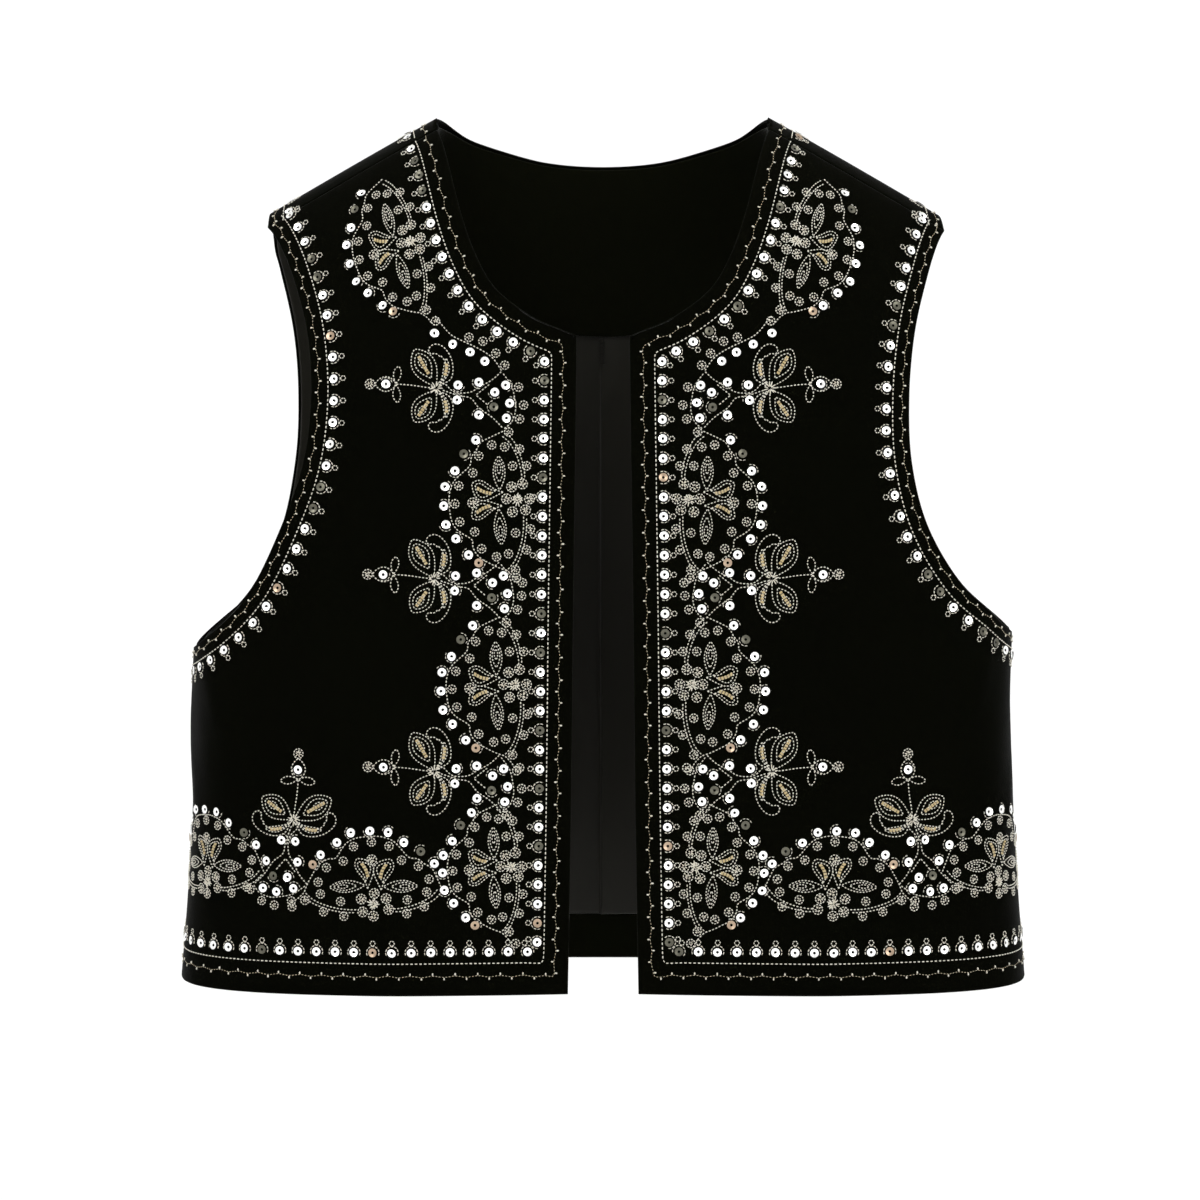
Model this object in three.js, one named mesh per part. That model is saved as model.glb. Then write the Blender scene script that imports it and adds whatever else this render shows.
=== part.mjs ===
import * as THREE from "three";

// A sleeveless, collarless velvet waistcoat with an open front, filled out as if worn, in millimetres.
// +Z is up, -Y is the front and +X is the wearer's left. The origin lies midway between the two
// shoulder seams, at the height where a wearer's shoulders carry the garment.

// Driving dimensions
const HEM_Z = -422;
const HEM_RISE_AT_OPENING = 2.4;
const HEM_RISE_AT_SIDE = 3.2;
const UNDERARM_Z = { left: -241, right: -249 };
const NECK_POINT_X = 86.4;
const NECK_POINT_Z = 24.3;
const NECK_SEAM_X = 85.4;
const SHOULDER_TIP_X = { left: 176, right: 173 };
const SHOULDER_SLOPE = 0.6;
const NECK_BLEND = 40;
const FRONT_SHOULDER_DROP = 150;
const BACK_SHOULDER_DROP = 120;
const SIDE_SQUARENESS = 3;
const SEAM_BELOW_RIDGE = 7;
const VELVET = 1.5;
const FACING = 1.1;
const LINING = 1;
const SEAM_GAP = 0.3;
const LAYER_GAP = 0.8;
const LINING_SET_BACK = 2;
const FACING_SET_BACK = 0.6;
const HEM_FACING_HEIGHT = 23.5;
const NECK_FACING_FOOT_Z = -88;
const NECK_FACING_HALF_WIDTH = 108;
const NECK_FACING_CURVE = 2.5;
const PLEAT_LIFT = 2.6;
const PLEAT_WIDTH = 30;
const PLEAT_EDGE = 1.4;

// The figure that fills the garment: half its width and its depth each way from the side seams
const FIGURE = [
  { z: -430, halfWidth: 220.6, front: 80, back: 66 },
  { z: -380, halfWidth: 216.4, front: 81, back: 65 },
  { z: -330, halfWidth: 213.2, front: 82, back: 64 },
  { z: -280, halfWidth: 212.2, front: 82, back: 65 },
  { z: -235, halfWidth: 212, front: 81, back: 66 },
  { z: -180, halfWidth: 208, front: 78, back: 67 },
  { z: -110, halfWidth: 202, front: 71, back: 66 },
  { z: -20, halfWidth: 199, front: 65, back: 61 },
  { z: 60, halfWidth: 199, front: 63, back: 59 },
];

// Cut edges, as distance from the centre line and height, from the bottom up
const OPENING_EDGE = [
  { x: 17.8, z: -420.1 },
  { x: 15.3, z: -249 },
  { x: 13.3, z: -88.3 },
];
const FRONT_NECKLINE = [
  { x: 13.3, z: -88.3 },
  { x: 34, z: -79.5 },
  { x: 53.5, z: -65 },
  { x: 64, z: -48 },
  { x: 71.5, z: -28 },
  { x: 77.5, z: -6 },
];
const FRONT_ARMHOLE = {
  left: [
    { x: 207.3, z: -245 },
    { x: 198.5, z: -235 },
    { x: 181, z: -215 },
    { x: 164.5, z: -184 },
    { x: 156.5, z: -153 },
    { x: 155.3, z: -120 },
    { x: 158.6, z: -87 },
    { x: 166, z: -58 },
  ],
  right: [
    { x: 206.5, z: -244.8 },
    { x: 193.5, z: -233.8 },
    { x: 178, z: -215 },
    { x: 163, z: -184 },
    { x: 152, z: -153 },
    { x: 148, z: -120 },
    { x: 150.3, z: -87 },
    { x: 158.5, z: -58 },
  ],
};
const BACK_ARMHOLE = [
  { x: 208, z: -245 },
  { x: 199.5, z: -237 },
  { x: 185, z: -218 },
  { x: 171, z: -188 },
  { x: 163.8, z: -152 },
  { x: 162.2, z: -118 },
  { x: 164, z: -86 },
  { x: 170.2, z: -52 },
  { x: 172.6, z: -36 },
];
const NECK_POINT = { x: NECK_POINT_X, z: NECK_POINT_Z };
const BACK_NECKLINE = [
  { x: 77, z: 19.5 },
  { x: 61, z: 12 },
  { x: 31, z: 4 },
  { x: 0, z: 1.7 },
];
// Soft folds, each from one height to another on one side of the garment: how far round from the centre
// line it starts and ends, its half width and its height
const FOLDS = [
  { side: "front", from: 236, z0: -236, to: 243, z1: -320, width: 9, height: -1.2 },
  { side: "front", from: -240, z0: -246, to: -236, z1: -330, width: 10, height: 1.8 },
  { side: "front", from: 190, z0: -205, to: 204, z1: -405, width: 22, height: 2.6 },
  { side: "front", from: -200, z0: -205, to: -192, z1: -405, width: 24, height: 3 },
  { side: "front", from: 104, z0: -330, to: 112, z1: -450, width: 22, height: 1.8 },
  { side: "front", from: -110, z0: -330, to: -104, z1: -450, width: 22, height: 1.8 },
  { side: "back", from: 196, z0: -215, to: 172, z1: -400, width: 22, height: 3 },
  { side: "back", from: -196, z0: -215, to: -168, z1: -400, width: 22, height: 3 },
  { side: "back", from: 76, z0: -300, to: 80, z1: -450, width: 24, height: 2.4 },
  { side: "back", from: -66, z0: -290, to: -78, z1: -450, width: 24, height: 2.4 },
];

// Grid sizes
const FRONT_COLUMNS = 20;
const FRONT_ROWS = { toUnderarm: 8, toNeckCorner: 9, toShoulder: 10 };
const BACK_SHOULDER_COLUMNS = 9;
const HALF_NECK_COLUMNS = 12;
const BACK_ROWS = { toUnderarm: 7, toShoulderBlade: 11, toShoulder: 9 };
const NECK_FACING_ROWS = 8;
const HALF_FACING_COLUMNS = 20;
const HEM_FACING_COLUMNS = 36;
const HEM_FACING_ROWS = 2;
const ARC_STEPS = 400;

// The value of one column of a table at a height, along a smooth curve through its rows.
function column(table, key, z) {
  const last = table.length - 1;
  const at = Math.min(Math.max(z, table[0].z), table[last].z);
  const i = Math.min(last - 1, Math.max(0, table.findIndex((row) => row.z > at) - 1));
  const row = (k) => table[Math.min(last, Math.max(0, k))];
  const slope = (k) => {
    const rise = row(k + 1)[key] - row(k - 1)[key];
    return rise / (row(k + 1).z - row(k - 1).z);
  };
  const span = row(i + 1).z - row(i).z;
  const t = (at - row(i).z) / span;
  const toStart =
    (2 * t ** 3 - 3 * t ** 2 + 1) * row(i)[key] + (t ** 3 - 2 * t ** 2 + t) * span * slope(i);
  const toEnd = (3 * t ** 2 - 2 * t ** 3) * row(i + 1)[key] + (t ** 3 - t ** 2) * span * slope(i + 1);
  return toStart + toEnd;
}

// The height of the top of the shoulder at a distance from the centre line.
const RIDGE_TOP = NECK_POINT_Z + SHOULDER_SLOPE * Math.hypot(NECK_POINT_X, NECK_BLEND);
const ridge = (x) => RIDGE_TOP - SHOULDER_SLOPE * Math.hypot(x, NECK_BLEND);

// A level section of the figure is a rounded oblong: its depth at a share of its half width.
const sectionDepth = (share) => {
  const power = Math.min(1, Math.abs(share)) ** SIDE_SQUARENESS;
  return (1 - power) ** (1 / SIDE_SQUARENESS);
};

// How the distance round a quarter of that oblong goes with the share of its half width.
const ROUND = (() => {
  const bust = FIGURE[4];
  const rows = [{ across: 0, length: 0 }];
  let before = { x: 0, y: bust.front };
  for (let i = 1; i <= ARC_STEPS; i++) {
    const across = Math.sin(((Math.PI / 2) * i) / ARC_STEPS) ** (2 / SIDE_SQUARENESS);
    const here = { x: bust.halfWidth * across, y: bust.front * sectionDepth(across) };
    rows.push({ across, length: rows[i - 1].length + Math.hypot(here.x - before.x, here.y - before.y) });
    before = here;
  }
  return rows;
})();
const QUARTER_GIRTH = ROUND[ARC_STEPS].length;

function lookUp(from, to, value) {
  const size = Math.min(ROUND[ARC_STEPS][from], Math.abs(value));
  const i = Math.max(1, ROUND.findIndex((row) => row[from] >= size - 1e-9));
  const [low, high] = [ROUND[i - 1], ROUND[i]];
  const t = (size - low[from]) / (high[from] - low[from]);
  return Math.sign(value) * (low[to] + t * (high[to] - low[to]));
}
const roundFrom = (x, z) => lookUp("across", "length", x / column(FIGURE, "halfWidth", z));
const acrossAt = (round, z) => column(FIGURE, "halfWidth", z) * lookUp("length", "across", round);

// The height of the soft folds at a distance round from the centre line and a height above the hem:
// each is a rounded ridge that fades out at both ends.
function foldHeight(side, round, z) {
  let sum = 0;
  for (const fold of FOLDS.filter((f) => f.side === side)) {
    const along = (fold.z0 - z) / (fold.z0 - fold.z1);
    if (along <= 0 || along >= 1) continue;
    const middle = fold.from + along * (fold.to - fold.from);
    const away = (round - middle) / fold.width;
    sum += fold.height * Math.sin(Math.PI * along) ** 1.5 * Math.exp(-away * away);
  }
  return sum;
}

// A place on the figure is a pair of lengths: round from the centre line towards the side seam, and over
// from the top of the shoulder downwards, negative on the front and positive on the back.
function toPlace(side, x, z) {
  const drop = side === "front" ? FRONT_SHOULDER_DROP : BACK_SHOULDER_DROP;
  const down = Math.max(0, ridge(x) - z);
  const bend = Math.acos(1 - Math.min(1, down / drop));
  const over = drop * bend + Math.max(0, down - drop);
  return new THREE.Vector2(roundFrom(x, z), side === "front" ? -over : over);
}

// The point of the figure at a place: the section at its height, drawn in where the shoulder rounds over.
function onFigure(place) {
  const side = place.y < 0 ? "front" : "back";
  const drop = side === "front" ? FRONT_SHOULDER_DROP : BACK_SHOULDER_DROP;
  const over = Math.abs(place.y);
  const bend = Math.min(over / drop, Math.PI / 2);
  const down = drop * (1 - Math.cos(bend)) + Math.max(0, over - (drop * Math.PI) / 2);
  let x = 0;
  let z = 0;
  for (let i = 0; i < 12; i++) {
    z = ridge(x) - down;
    x = acrossAt(place.x, z);
  }
  const share = lookUp("length", "across", place.x);
  const depth = column(FIGURE, side, z) * Math.sin(bend) * sectionDepth(share);
  return new THREE.Vector3(x, side === "front" ? -depth : depth, z);
}

// The direction out of the figure at a place, across two short steps on it.
function outwards(place) {
  const step = 0.5;
  const low = Math.max(-QUARTER_GIRTH, place.x - step);
  const high = Math.min(QUARTER_GIRTH, place.x + step);
  const across = onFigure(new THREE.Vector2(high, place.y));
  across.sub(onFigure(new THREE.Vector2(low, place.y)));
  const over = onFigure(new THREE.Vector2(place.x, place.y + step));
  over.sub(onFigure(new THREE.Vector2(place.x, place.y - step)));
  return across.cross(over).normalize();
}

// A curve of places through a few corners of an edge.
function edge(places) {
  const curve = new THREE.SplineCurve(places);
  curve.arcLengthDivisions = ARC_STEPS;
  return (t) => curve.getPointAt(Math.min(1, Math.max(0, t)));
}
const mirrored = (place) => new THREE.Vector2(-place.x, place.y);

// Half of a curve that goes on mirrored past the centre line, so that it is level at the middle.
function edgeToMiddle(places) {
  const onwards = [...places].reverse().slice(1).map(mirrored);
  const whole = edge([...places, ...onwards]);
  return (t) => whole(t / 2);
}

// Four edges filled in between, so that the places on each edge stay as they are.
function patch({ bottom, top, start, end }) {
  const blend = (a, b, t) => a.clone().lerp(b, t);
  const corners = [bottom(0), bottom(1), top(0), top(1)];
  return (u, v) => {
    const upright = blend(bottom(u), top(u), v);
    const level = blend(start(v), end(v), u);
    const flat = blend(blend(corners[0], corners[1], u), blend(corners[2], corners[3], u), v);
    return upright.add(level).sub(flat);
  };
}

// A wall of cloth over a grid of places. lift says how far its outer face lies out of the figure.
// Each cell is split along the diagonal that lies nearer to the figure.
function clothWall(placeAt, us, vs, thickness, lift) {
  const wide = us.length;
  const tall = vs.length;
  const outer = [];
  const inner = [];
  const addPoint = (u, v) => {
    const place = placeAt(u, v);
    const point = onFigure(place);
    const out = outwards(place);
    const height = lift(place, point);
    outer.push(point.clone().addScaledVector(out, height));
    inner.push(point.clone().addScaledVector(out, height - thickness));
  };
  for (const v of vs) for (const u of us) addPoint(u, v);
  const at = (i, j) => j * wide + i;
  const under = outer.length;
  const fallsFirst = (i, j) => {
    const place = placeAt((us[i] + us[i + 1]) / 2, (vs[j] + vs[j + 1]) / 2);
    const middle = onFigure(place);
    middle.addScaledVector(outwards(place), lift(place, middle));
    const across = (a, b) => outer[a].clone().lerp(outer[b], 0.5).distanceTo(middle);
    return across(at(i + 1, j), at(i, j + 1)) < across(at(i, j), at(i + 1, j + 1));
  };
  const index = [];
  const quad = (a, b, c, d) => index.push(a, b, c, a, c, d);
  for (let j = 0; j < tall - 1; j++) {
    for (let i = 0; i < wide - 1; i++) {
      const corners = [at(i, j), at(i + 1, j), at(i + 1, j + 1), at(i, j + 1)];
      if (fallsFirst(i, j)) corners.push(corners.shift());
      const [a, b, c, d] = corners;
      quad(a, b, c, d);
      quad(under + a, under + d, under + c, under + b);
    }
  }
  for (let i = 0; i < wide - 1; i++) {
    quad(at(i, 0), under + at(i, 0), under + at(i + 1, 0), at(i + 1, 0));
    quad(at(i + 1, tall - 1), under + at(i + 1, tall - 1), under + at(i, tall - 1), at(i, tall - 1));
  }
  for (let j = 0; j < tall - 1; j++) {
    quad(at(0, j + 1), under + at(0, j + 1), under + at(0, j), at(0, j));
    quad(at(wide - 1, j), under + at(wide - 1, j), under + at(wide - 1, j + 1), at(wide - 1, j + 1));
  }
  const geometry = new THREE.BufferGeometry().setFromPoints([...outer, ...inner]);
  geometry.setIndex(index);
  return geometry;
}

// Evenly spaced shares of a stretch, with both ends.
const steps = (count, from = 0, to = 1) =>
  Array.from({ length: count + 1 }, (_, i) => from + ((to - from) * i) / count);
const joined = (...lists) => lists.flatMap((list, i) => (i ? list.slice(1) : list));
const flipped = (list) => [...list].reverse();

// How far the outer face of each layer lies out of the figure at a place.
const frontLift = (place, point) => foldHeight("front", place.x, point.z);
const backLift = (place, point) => foldHeight("back", place.x, point.z);
const underVelvet = (place, point) => backLift(place, point) - VELVET - LAYER_GAP;
const liningLift = (place, point) => underVelvet(place, point) - pleat(point.x, point.z);
const onLining = (place, point) => underVelvet(place, point) - LINING - LAYER_GAP;

const seamPlace = (x, belowRidge) => toPlace("front", x, ridge(x) - belowRidge);
const backNeckRows = (inset) =>
  [NECK_POINT, ...BACK_NECKLINE].map(({ x, z }, i) => ({ x: x + (i < 2 ? inset : 0), z: z - inset }));
const backPlaces = (rows) => rows.map((row) => toPlace("back", row.x, row.z));
const sideSeam = (side, z, inset = 0) => {
  const foot = toPlace(side, column(FIGURE, "halfWidth", z), z);
  foot.x = QUARTER_GIRTH - SEAM_GAP / 2 - inset;
  return foot;
};

// The cut edge of the hem: it rises a little towards the side seams and beside the opening.
const hemZ = (side, round) => {
  const share = Math.abs(round) / QUARTER_GIRTH;
  const atOpening = side === "front" ? HEM_RISE_AT_OPENING * (1 - share) ** 3 : 0;
  return HEM_Z + HEM_RISE_AT_SIDE * share ** 8 + atOpening;
};
const SIDE_HEM_Z = HEM_Z + HEM_RISE_AT_SIDE;

// A line along the hem, at a distance above its edge and between two distances round.
function hemLine(side, above, from, to) {
  return (u) => {
    const round = THREE.MathUtils.lerp(from, to, u);
    const z = hemZ(side, round) + above;
    const foot = toPlace(side, acrossAt(round, z), z);
    foot.x = round;
    return foot;
  };
}

// An armhole from the underarm up: its lowest part is raised on the side whose underarm is higher.
function armholePlaces(side, hand, rows, inset = 0) {
  const raise = UNDERARM_Z[hand] - UNDERARM_Z.right;
  return rows.map(({ x, z }) => {
    const share = THREE.MathUtils.clamp((x - 165) / 42, 0, 1);
    return toPlace(side, x - inset, z - inset * share + raise * share);
  });
}

// One front, from the opening to the side seam and from the hem to the shoulder seam.
function frontPanel(hand) {
  const underarm = UNDERARM_Z[hand];
  const shareToUnderarm = 0.385;
  const shareToNeckCorner = 0.72;
  const place = (row) => toPlace("front", row.x, row.z);
  const opening = edge(OPENING_EDGE.map(place));
  const neckline = edge([...FRONT_NECKLINE.map(place), seamPlace(NECK_SEAM_X, SEAM_BELOW_RIDGE)]);
  const armhole = edge([
    sideSeam("front", underarm),
    ...armholePlaces("front", hand, FRONT_ARMHOLE[hand]),
    seamPlace(SHOULDER_TIP_X[hand], SEAM_BELOW_RIDGE),
  ]);
  const start = (v) =>
    v <= shareToNeckCorner
      ? opening(v / shareToNeckCorner)
      : neckline((v - shareToNeckCorner) / (1 - shareToNeckCorner));
  const end = (v) =>
    v <= shareToUnderarm
      ? sideSeam("front", SIDE_HEM_Z + ((underarm - SIDE_HEM_Z) * v) / shareToUnderarm)
      : armhole((v - shareToUnderarm) / (1 - shareToUnderarm));
  const bottom = hemLine("front", 0, start(0).x, end(0).x);
  const top = (u) => start(1).clone().lerp(end(1), u);
  const placeOf = patch({ bottom, top, start, end });
  const placeAt = (u, v) => (hand === "left" ? placeOf(u, v) : mirrored(placeOf(u, v)));
  const columns = steps(FRONT_COLUMNS).map((t) => Math.sin((t * Math.PI) / 2));
  const us = hand === "left" ? columns : flipped(columns);
  const vs = joined(
    steps(FRONT_ROWS.toUnderarm, 0, shareToUnderarm),
    steps(FRONT_ROWS.toNeckCorner, shareToUnderarm, shareToNeckCorner),
    steps(FRONT_ROWS.toShoulder, shareToNeckCorner, 1),
  );
  return clothWall(placeAt, us, vs, VELVET, frontLift);
}

// The outline that the back and its lining have in common: side seams, armholes, shoulder seams and
// neckline, all set in from the cut edge of the velvet, and a foot at a distance above the hem.
function backPatch(aboveHem, inset) {
  const footZ = SIDE_HEM_Z + aboveHem;
  const shareToUnderarm = 0.41;
  const shareToShoulderBlade = 0.8;
  const shoulderShare = 0.25;
  const underSeam = SEAM_BELOW_RIDGE - SEAM_GAP - inset / 3;
  const shoulderEnd = (hand) => seamPlace(SHOULDER_TIP_X[hand] - inset, underSeam);
  const shoulderStart = seamPlace(NECK_SEAM_X + inset, underSeam);
  const armhole = (hand) =>
    edge([
      sideSeam("back", UNDERARM_Z[hand] - inset, inset),
      ...armholePlaces("back", hand, BACK_ARMHOLE, inset),
      shoulderEnd(hand),
    ]);
  const armholes = { left: armhole("left"), right: armhole("right") };
  const sideEdge = (hand) => (v) => {
    const underarm = UNDERARM_Z[hand] - inset;
    const place =
      v <= shareToUnderarm
        ? sideSeam("back", footZ + ((underarm - footZ) * v) / shareToUnderarm, inset)
        : armholes[hand]((v - shareToUnderarm) / (1 - shareToUnderarm));
    return hand === "left" ? place : mirrored(place);
  };
  const neck = edgeToMiddle([shoulderStart, ...backPlaces(backNeckRows(inset))]);
  const top = (u) => {
    const fromEnd = Math.min(u, 1 - u);
    const place =
      fromEnd <= shoulderShare
        ? shoulderEnd(u < 0.5 ? "right" : "left").lerp(shoulderStart, fromEnd / shoulderShare)
        : neck((fromEnd - shoulderShare) / (0.5 - shoulderShare));
    return u < 0.5 ? mirrored(place) : place;
  };
  const start = sideEdge("right");
  const end = sideEdge("left");
  const bottom = hemLine("back", aboveHem, start(0).x, end(0).x);
  const half = joined(
    steps(BACK_SHOULDER_COLUMNS).map((t) => shoulderShare * t ** 1.25),
    steps(HALF_NECK_COLUMNS).map((t) => shoulderShare + (0.5 - shoulderShare) * t ** 1.5),
  );
  const us = flipped(joined(half, flipped(half).map((u) => 1 - u)));
  const vs = joined(
    steps(BACK_ROWS.toUnderarm, 0, shareToUnderarm),
    steps(BACK_ROWS.toShoulderBlade, shareToUnderarm, shareToShoulderBlade),
    steps(BACK_ROWS.toShoulder, shareToShoulderBlade, 1),
  );
  return { placeAt: patch({ bottom, top, start, end }), us, vs };
}

function backPanel() {
  const { placeAt, us, vs } = backPatch(0, 0);
  return clothWall(placeAt, us, vs, VELVET, backLift);
}

// The satin inside the back, down to the hem facing, with a pressed pleat in the middle.
function backLining() {
  const aboveHem = FACING_SET_BACK + HEM_FACING_HEIGHT + SEAM_GAP;
  const { placeAt, us, vs } = backPatch(aboveHem, LINING_SET_BACK);
  return clothWall(placeAt, us, vs, LINING, liningLift);
}

// The half-moon facing that lies on the lining inside the back of the neck. Its columns run from one
// shoulder seam round the neck to the other, between the neckline and a deep curve.
function neckFacing() {
  const underSeam = SEAM_BELOW_RIDGE - 1;
  const top = ridge(NECK_FACING_HALF_WIDTH);
  const curve = [1, 0.985, 0.94, 0.86, 0.74, 0.58, 0.4, 0.2, 0].map((share) => ({
    x: NECK_FACING_HALF_WIDTH * share,
    z: NECK_FACING_FOOT_Z + (top - NECK_FACING_FOOT_Z) * share ** NECK_FACING_CURVE,
  }));
  const lower = edgeToMiddle([seamPlace(NECK_FACING_HALF_WIDTH, underSeam), ...backPlaces(curve)]);
  const neckRows = backPlaces(backNeckRows(FACING_SET_BACK));
  const upper = edgeToMiddle([seamPlace(NECK_SEAM_X + FACING_SET_BACK, underSeam), ...neckRows]);
  const bothHalves = (half) => (u) => (u < 0.5 ? mirrored(half(2 * u)) : half(2 - 2 * u));
  const bottom = bothHalves(lower);
  const upperEdge = bothHalves(upper);
  const placeAt = (u, v) => bottom(u).lerp(upperEdge(u), v);
  const half = steps(HALF_FACING_COLUMNS).map((t) => t ** 1.5 / 2);
  const us = flipped(joined(half, flipped(half).map((u) => 1 - u)));
  const vs = steps(NECK_FACING_ROWS).map((t) => 1 - (1 - t) ** 1.5);
  return clothWall(placeAt, us, vs, FACING, onLining);
}

// How far the pleat stands inwards: it swells towards its folded edge and ends there in a step. It runs
// out under the neck facing.
function pleat(x, z) {
  const opened = THREE.MathUtils.clamp((NECK_FACING_FOOT_Z - z) / PLEAT_WIDTH, 0, 1);
  if (x > PLEAT_EDGE) return 0;
  if (x > 0) return (opened * PLEAT_LIFT * (PLEAT_EDGE - x)) / PLEAT_EDGE;
  return opened * PLEAT_LIFT * Math.max(0, 1 + x / PLEAT_WIDTH) ** 2;
}

// The velvet band inside the back hem.
function hemFacing() {
  const reach = QUARTER_GIRTH - SEAM_GAP / 2 - LINING_SET_BACK;
  const placeAt = (u, v) => hemLine("back", FACING_SET_BACK + v * HEM_FACING_HEIGHT, -reach, reach)(u);
  const us = flipped(steps(HEM_FACING_COLUMNS));
  return clothWall(placeAt, us, steps(HEM_FACING_ROWS), FACING, underVelvet);
}

const waistcoat = new THREE.Group();
waistcoat.name = "velvet_waistcoat";
const velvet = new THREE.MeshStandardMaterial({ color: 0x0a0a08, roughness: 0.9, metalness: 0 });
const satin = new THREE.MeshStandardMaterial({ color: 0x24211a, roughness: 0.5, metalness: 0 });
const pieces = [
  ["front_left", frontPanel("left"), velvet],
  ["front_right", frontPanel("right"), velvet],
  ["back", backPanel(), velvet],
  ["back_neck_facing", neckFacing(), velvet],
  ["back_lining", backLining(), satin],
  ["back_hem_facing", hemFacing(), velvet],
];
for (const [name, geometry, material] of pieces) {
  const mesh = new THREE.Mesh(geometry, material);
  mesh.name = name;
  waistcoat.add(mesh);
}
export default waistcoat;
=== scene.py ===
"""Velvet waistcoat with thread and sequin embroidery, filled out as if worn.

Lengths are in millimetres while a shape is worked out, and in metres in the mesh. +Z is up, -Y is
the front and +X is the wearer's left. The cloth lies on the same figure as the solids: a place on it is
a pair of lengths, round from the centre line and over from the top of the shoulder.
"""

import math

import bpy
import numpy as np
from bpy.props import FloatProperty, FloatVectorProperty, PointerProperty
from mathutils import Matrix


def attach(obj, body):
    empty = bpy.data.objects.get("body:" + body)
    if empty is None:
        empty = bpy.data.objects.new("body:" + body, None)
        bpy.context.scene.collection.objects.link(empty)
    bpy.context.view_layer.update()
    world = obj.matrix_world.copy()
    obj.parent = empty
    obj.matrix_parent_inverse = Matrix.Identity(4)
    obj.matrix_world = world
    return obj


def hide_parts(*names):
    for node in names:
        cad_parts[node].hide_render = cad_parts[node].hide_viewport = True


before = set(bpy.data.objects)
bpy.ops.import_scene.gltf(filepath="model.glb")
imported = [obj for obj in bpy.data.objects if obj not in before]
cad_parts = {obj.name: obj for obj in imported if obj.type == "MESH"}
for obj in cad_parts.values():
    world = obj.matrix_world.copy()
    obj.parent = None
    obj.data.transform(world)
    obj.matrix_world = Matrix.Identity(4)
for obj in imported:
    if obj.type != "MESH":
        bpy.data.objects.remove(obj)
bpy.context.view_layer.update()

bl_info = {
    "name": "Embroidered velvet waistcoat",
    "version": (1, 0, 0),
    "blender": (4, 2, 0),
    "location": "3D View > Sidebar > Waistcoat",
    "description": "Dresses the waistcoat's solids in velvet, satin, thread and sequins",
    "category": "Add Mesh",
}

# The figure that fills the garment: height, half its width, depth to the front and depth to the back
FIGURE = np.array(
    [
        (-430, 220.6, 80, 66),
        (-380, 216.4, 81, 65),
        (-330, 213.2, 82, 64),
        (-280, 212.2, 82, 65),
        (-235, 212, 81, 66),
        (-180, 208, 78, 67),
        (-110, 202, 71, 66),
        (-20, 199, 65, 61),
        (60, 199, 63, 59),
    ],
    dtype=float,
)
HALF_WIDTH, FRONT_DEPTH, BACK_DEPTH = 1, 2, 3
BUST_ROW = 4
# The shoulder ridge: how steeply it falls, and how far out it rounds off at the neck
SHOULDER_SLOPE = 0.6
NECK_BLEND = 40
# How far down the cloth turns from the top of the shoulder to the upright, in front and behind
FRONT_SHOULDER_DROP = 150
BACK_SHOULDER_DROP = 120
# Power of the level sections' rounding
SIDE_SQUARENESS = 3

# Cut edges, as distance from the centre line and height
OPENING_EDGE = [(17.8, -420.1), (15.3, -249), (13.3, -88.3)]
FRONT_NECKLINE = [(13.3, -88.3), (34, -79.5), (53.5, -65), (64, -48), (71.5, -28), (77.5, -6)]
FRONT_ARMHOLE = {
    "left": [
        (207.3, -245), (198.5, -235), (181, -215), (164.5, -184),
        (156.5, -153), (155.3, -120), (158.6, -87), (166, -58),
    ],
    "right": [
        (206.5, -244.8), (193.5, -233.8), (178, -215), (163, -184),
        (152, -153), (148, -120), (150.3, -87), (158.5, -58),
    ],
}
BACK_ARMHOLE = [
    (208, -245), (199.5, -237), (185, -218), (171, -188), (163.8, -152),
    (162.2, -118), (164, -86), (170.2, -52), (172.6, -36),
]
# Where the shoulder ridge meets the neck, and the back's neckline from there to the centre line
NECK_POINT = (86.4, 24.3)
BACK_NECKLINE = [(77, 19.5), (61, 12), (31, 4), (0, 1.7)]
# Ends of the shoulder seam, and how far it lies below the top of the shoulder, on the front
NECK_SEAM_X = 85.4
SHOULDER_TIP_X = {"left": 176, "right": 173}
SEAM_BELOW_RIDGE = 7
UNDERARM_Z = {"left": -241, "right": -249}
# The armholes' feet follow the underarms' heights from the first distance out, fully at the second
ARMHOLE_RAISED_FROM = (165, 207)
# Foot of the hem, and how far it rises towards the opening and the side seams
HEM_Z = -422
HEM_RISE_AT_OPENING = 2.4
HEM_RISE_AT_SIDE = 3.2
SEAM_GAP = 0.04
LAYER_GAP = 0.8
# How far the lining and the facings stop short of the velvet's edge
LINING_SET_BACK = 0.9
LINING_NECK_SET_BACK = 2.6
FACING_SET_BACK = 0.6
HEM_FACING_HEIGHT = 23.5
# Half-moon facing of the neck: its foot, half its width, and the power of its curve through these shares
NECK_FACING_FOOT_Z = -88
NECK_FACING_HALF_WIDTH = 108
NECK_FACING_CURVE = 2.5
NECK_FACING_SHARES = np.array([1, 0.985, 0.94, 0.86, 0.74, 0.58, 0.4, 0.2, 0])
# Pleat of the lining: where its folded edge stands, how wide its rise is and how wide its step
PLEAT_X = -0.6
PLEAT_WIDTH = 30
PLEAT_EDGE = 1.4
# Extra columns of the lining at the pleat, as shares of its width, which is about this many millimetres
PLEAT_COLUMNS = np.array([-0.006, -0.0042, -0.0028, -0.0014, -0.0005, 0, 0.0005, 0.0014, 0.003, 0.006])
LINING_ROUND = 500
# Columns and rows of each sheet's grid
FRONT_GRID = (96, 168)
BACK_GRID = (168, 150)
NECK_FACING_GRID = (130, 40)
HEM_FACING_GRID = (168, 10)
# How fast a side edge's own shape falls off across the back and its lining
SIDE_FALL = 3

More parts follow.
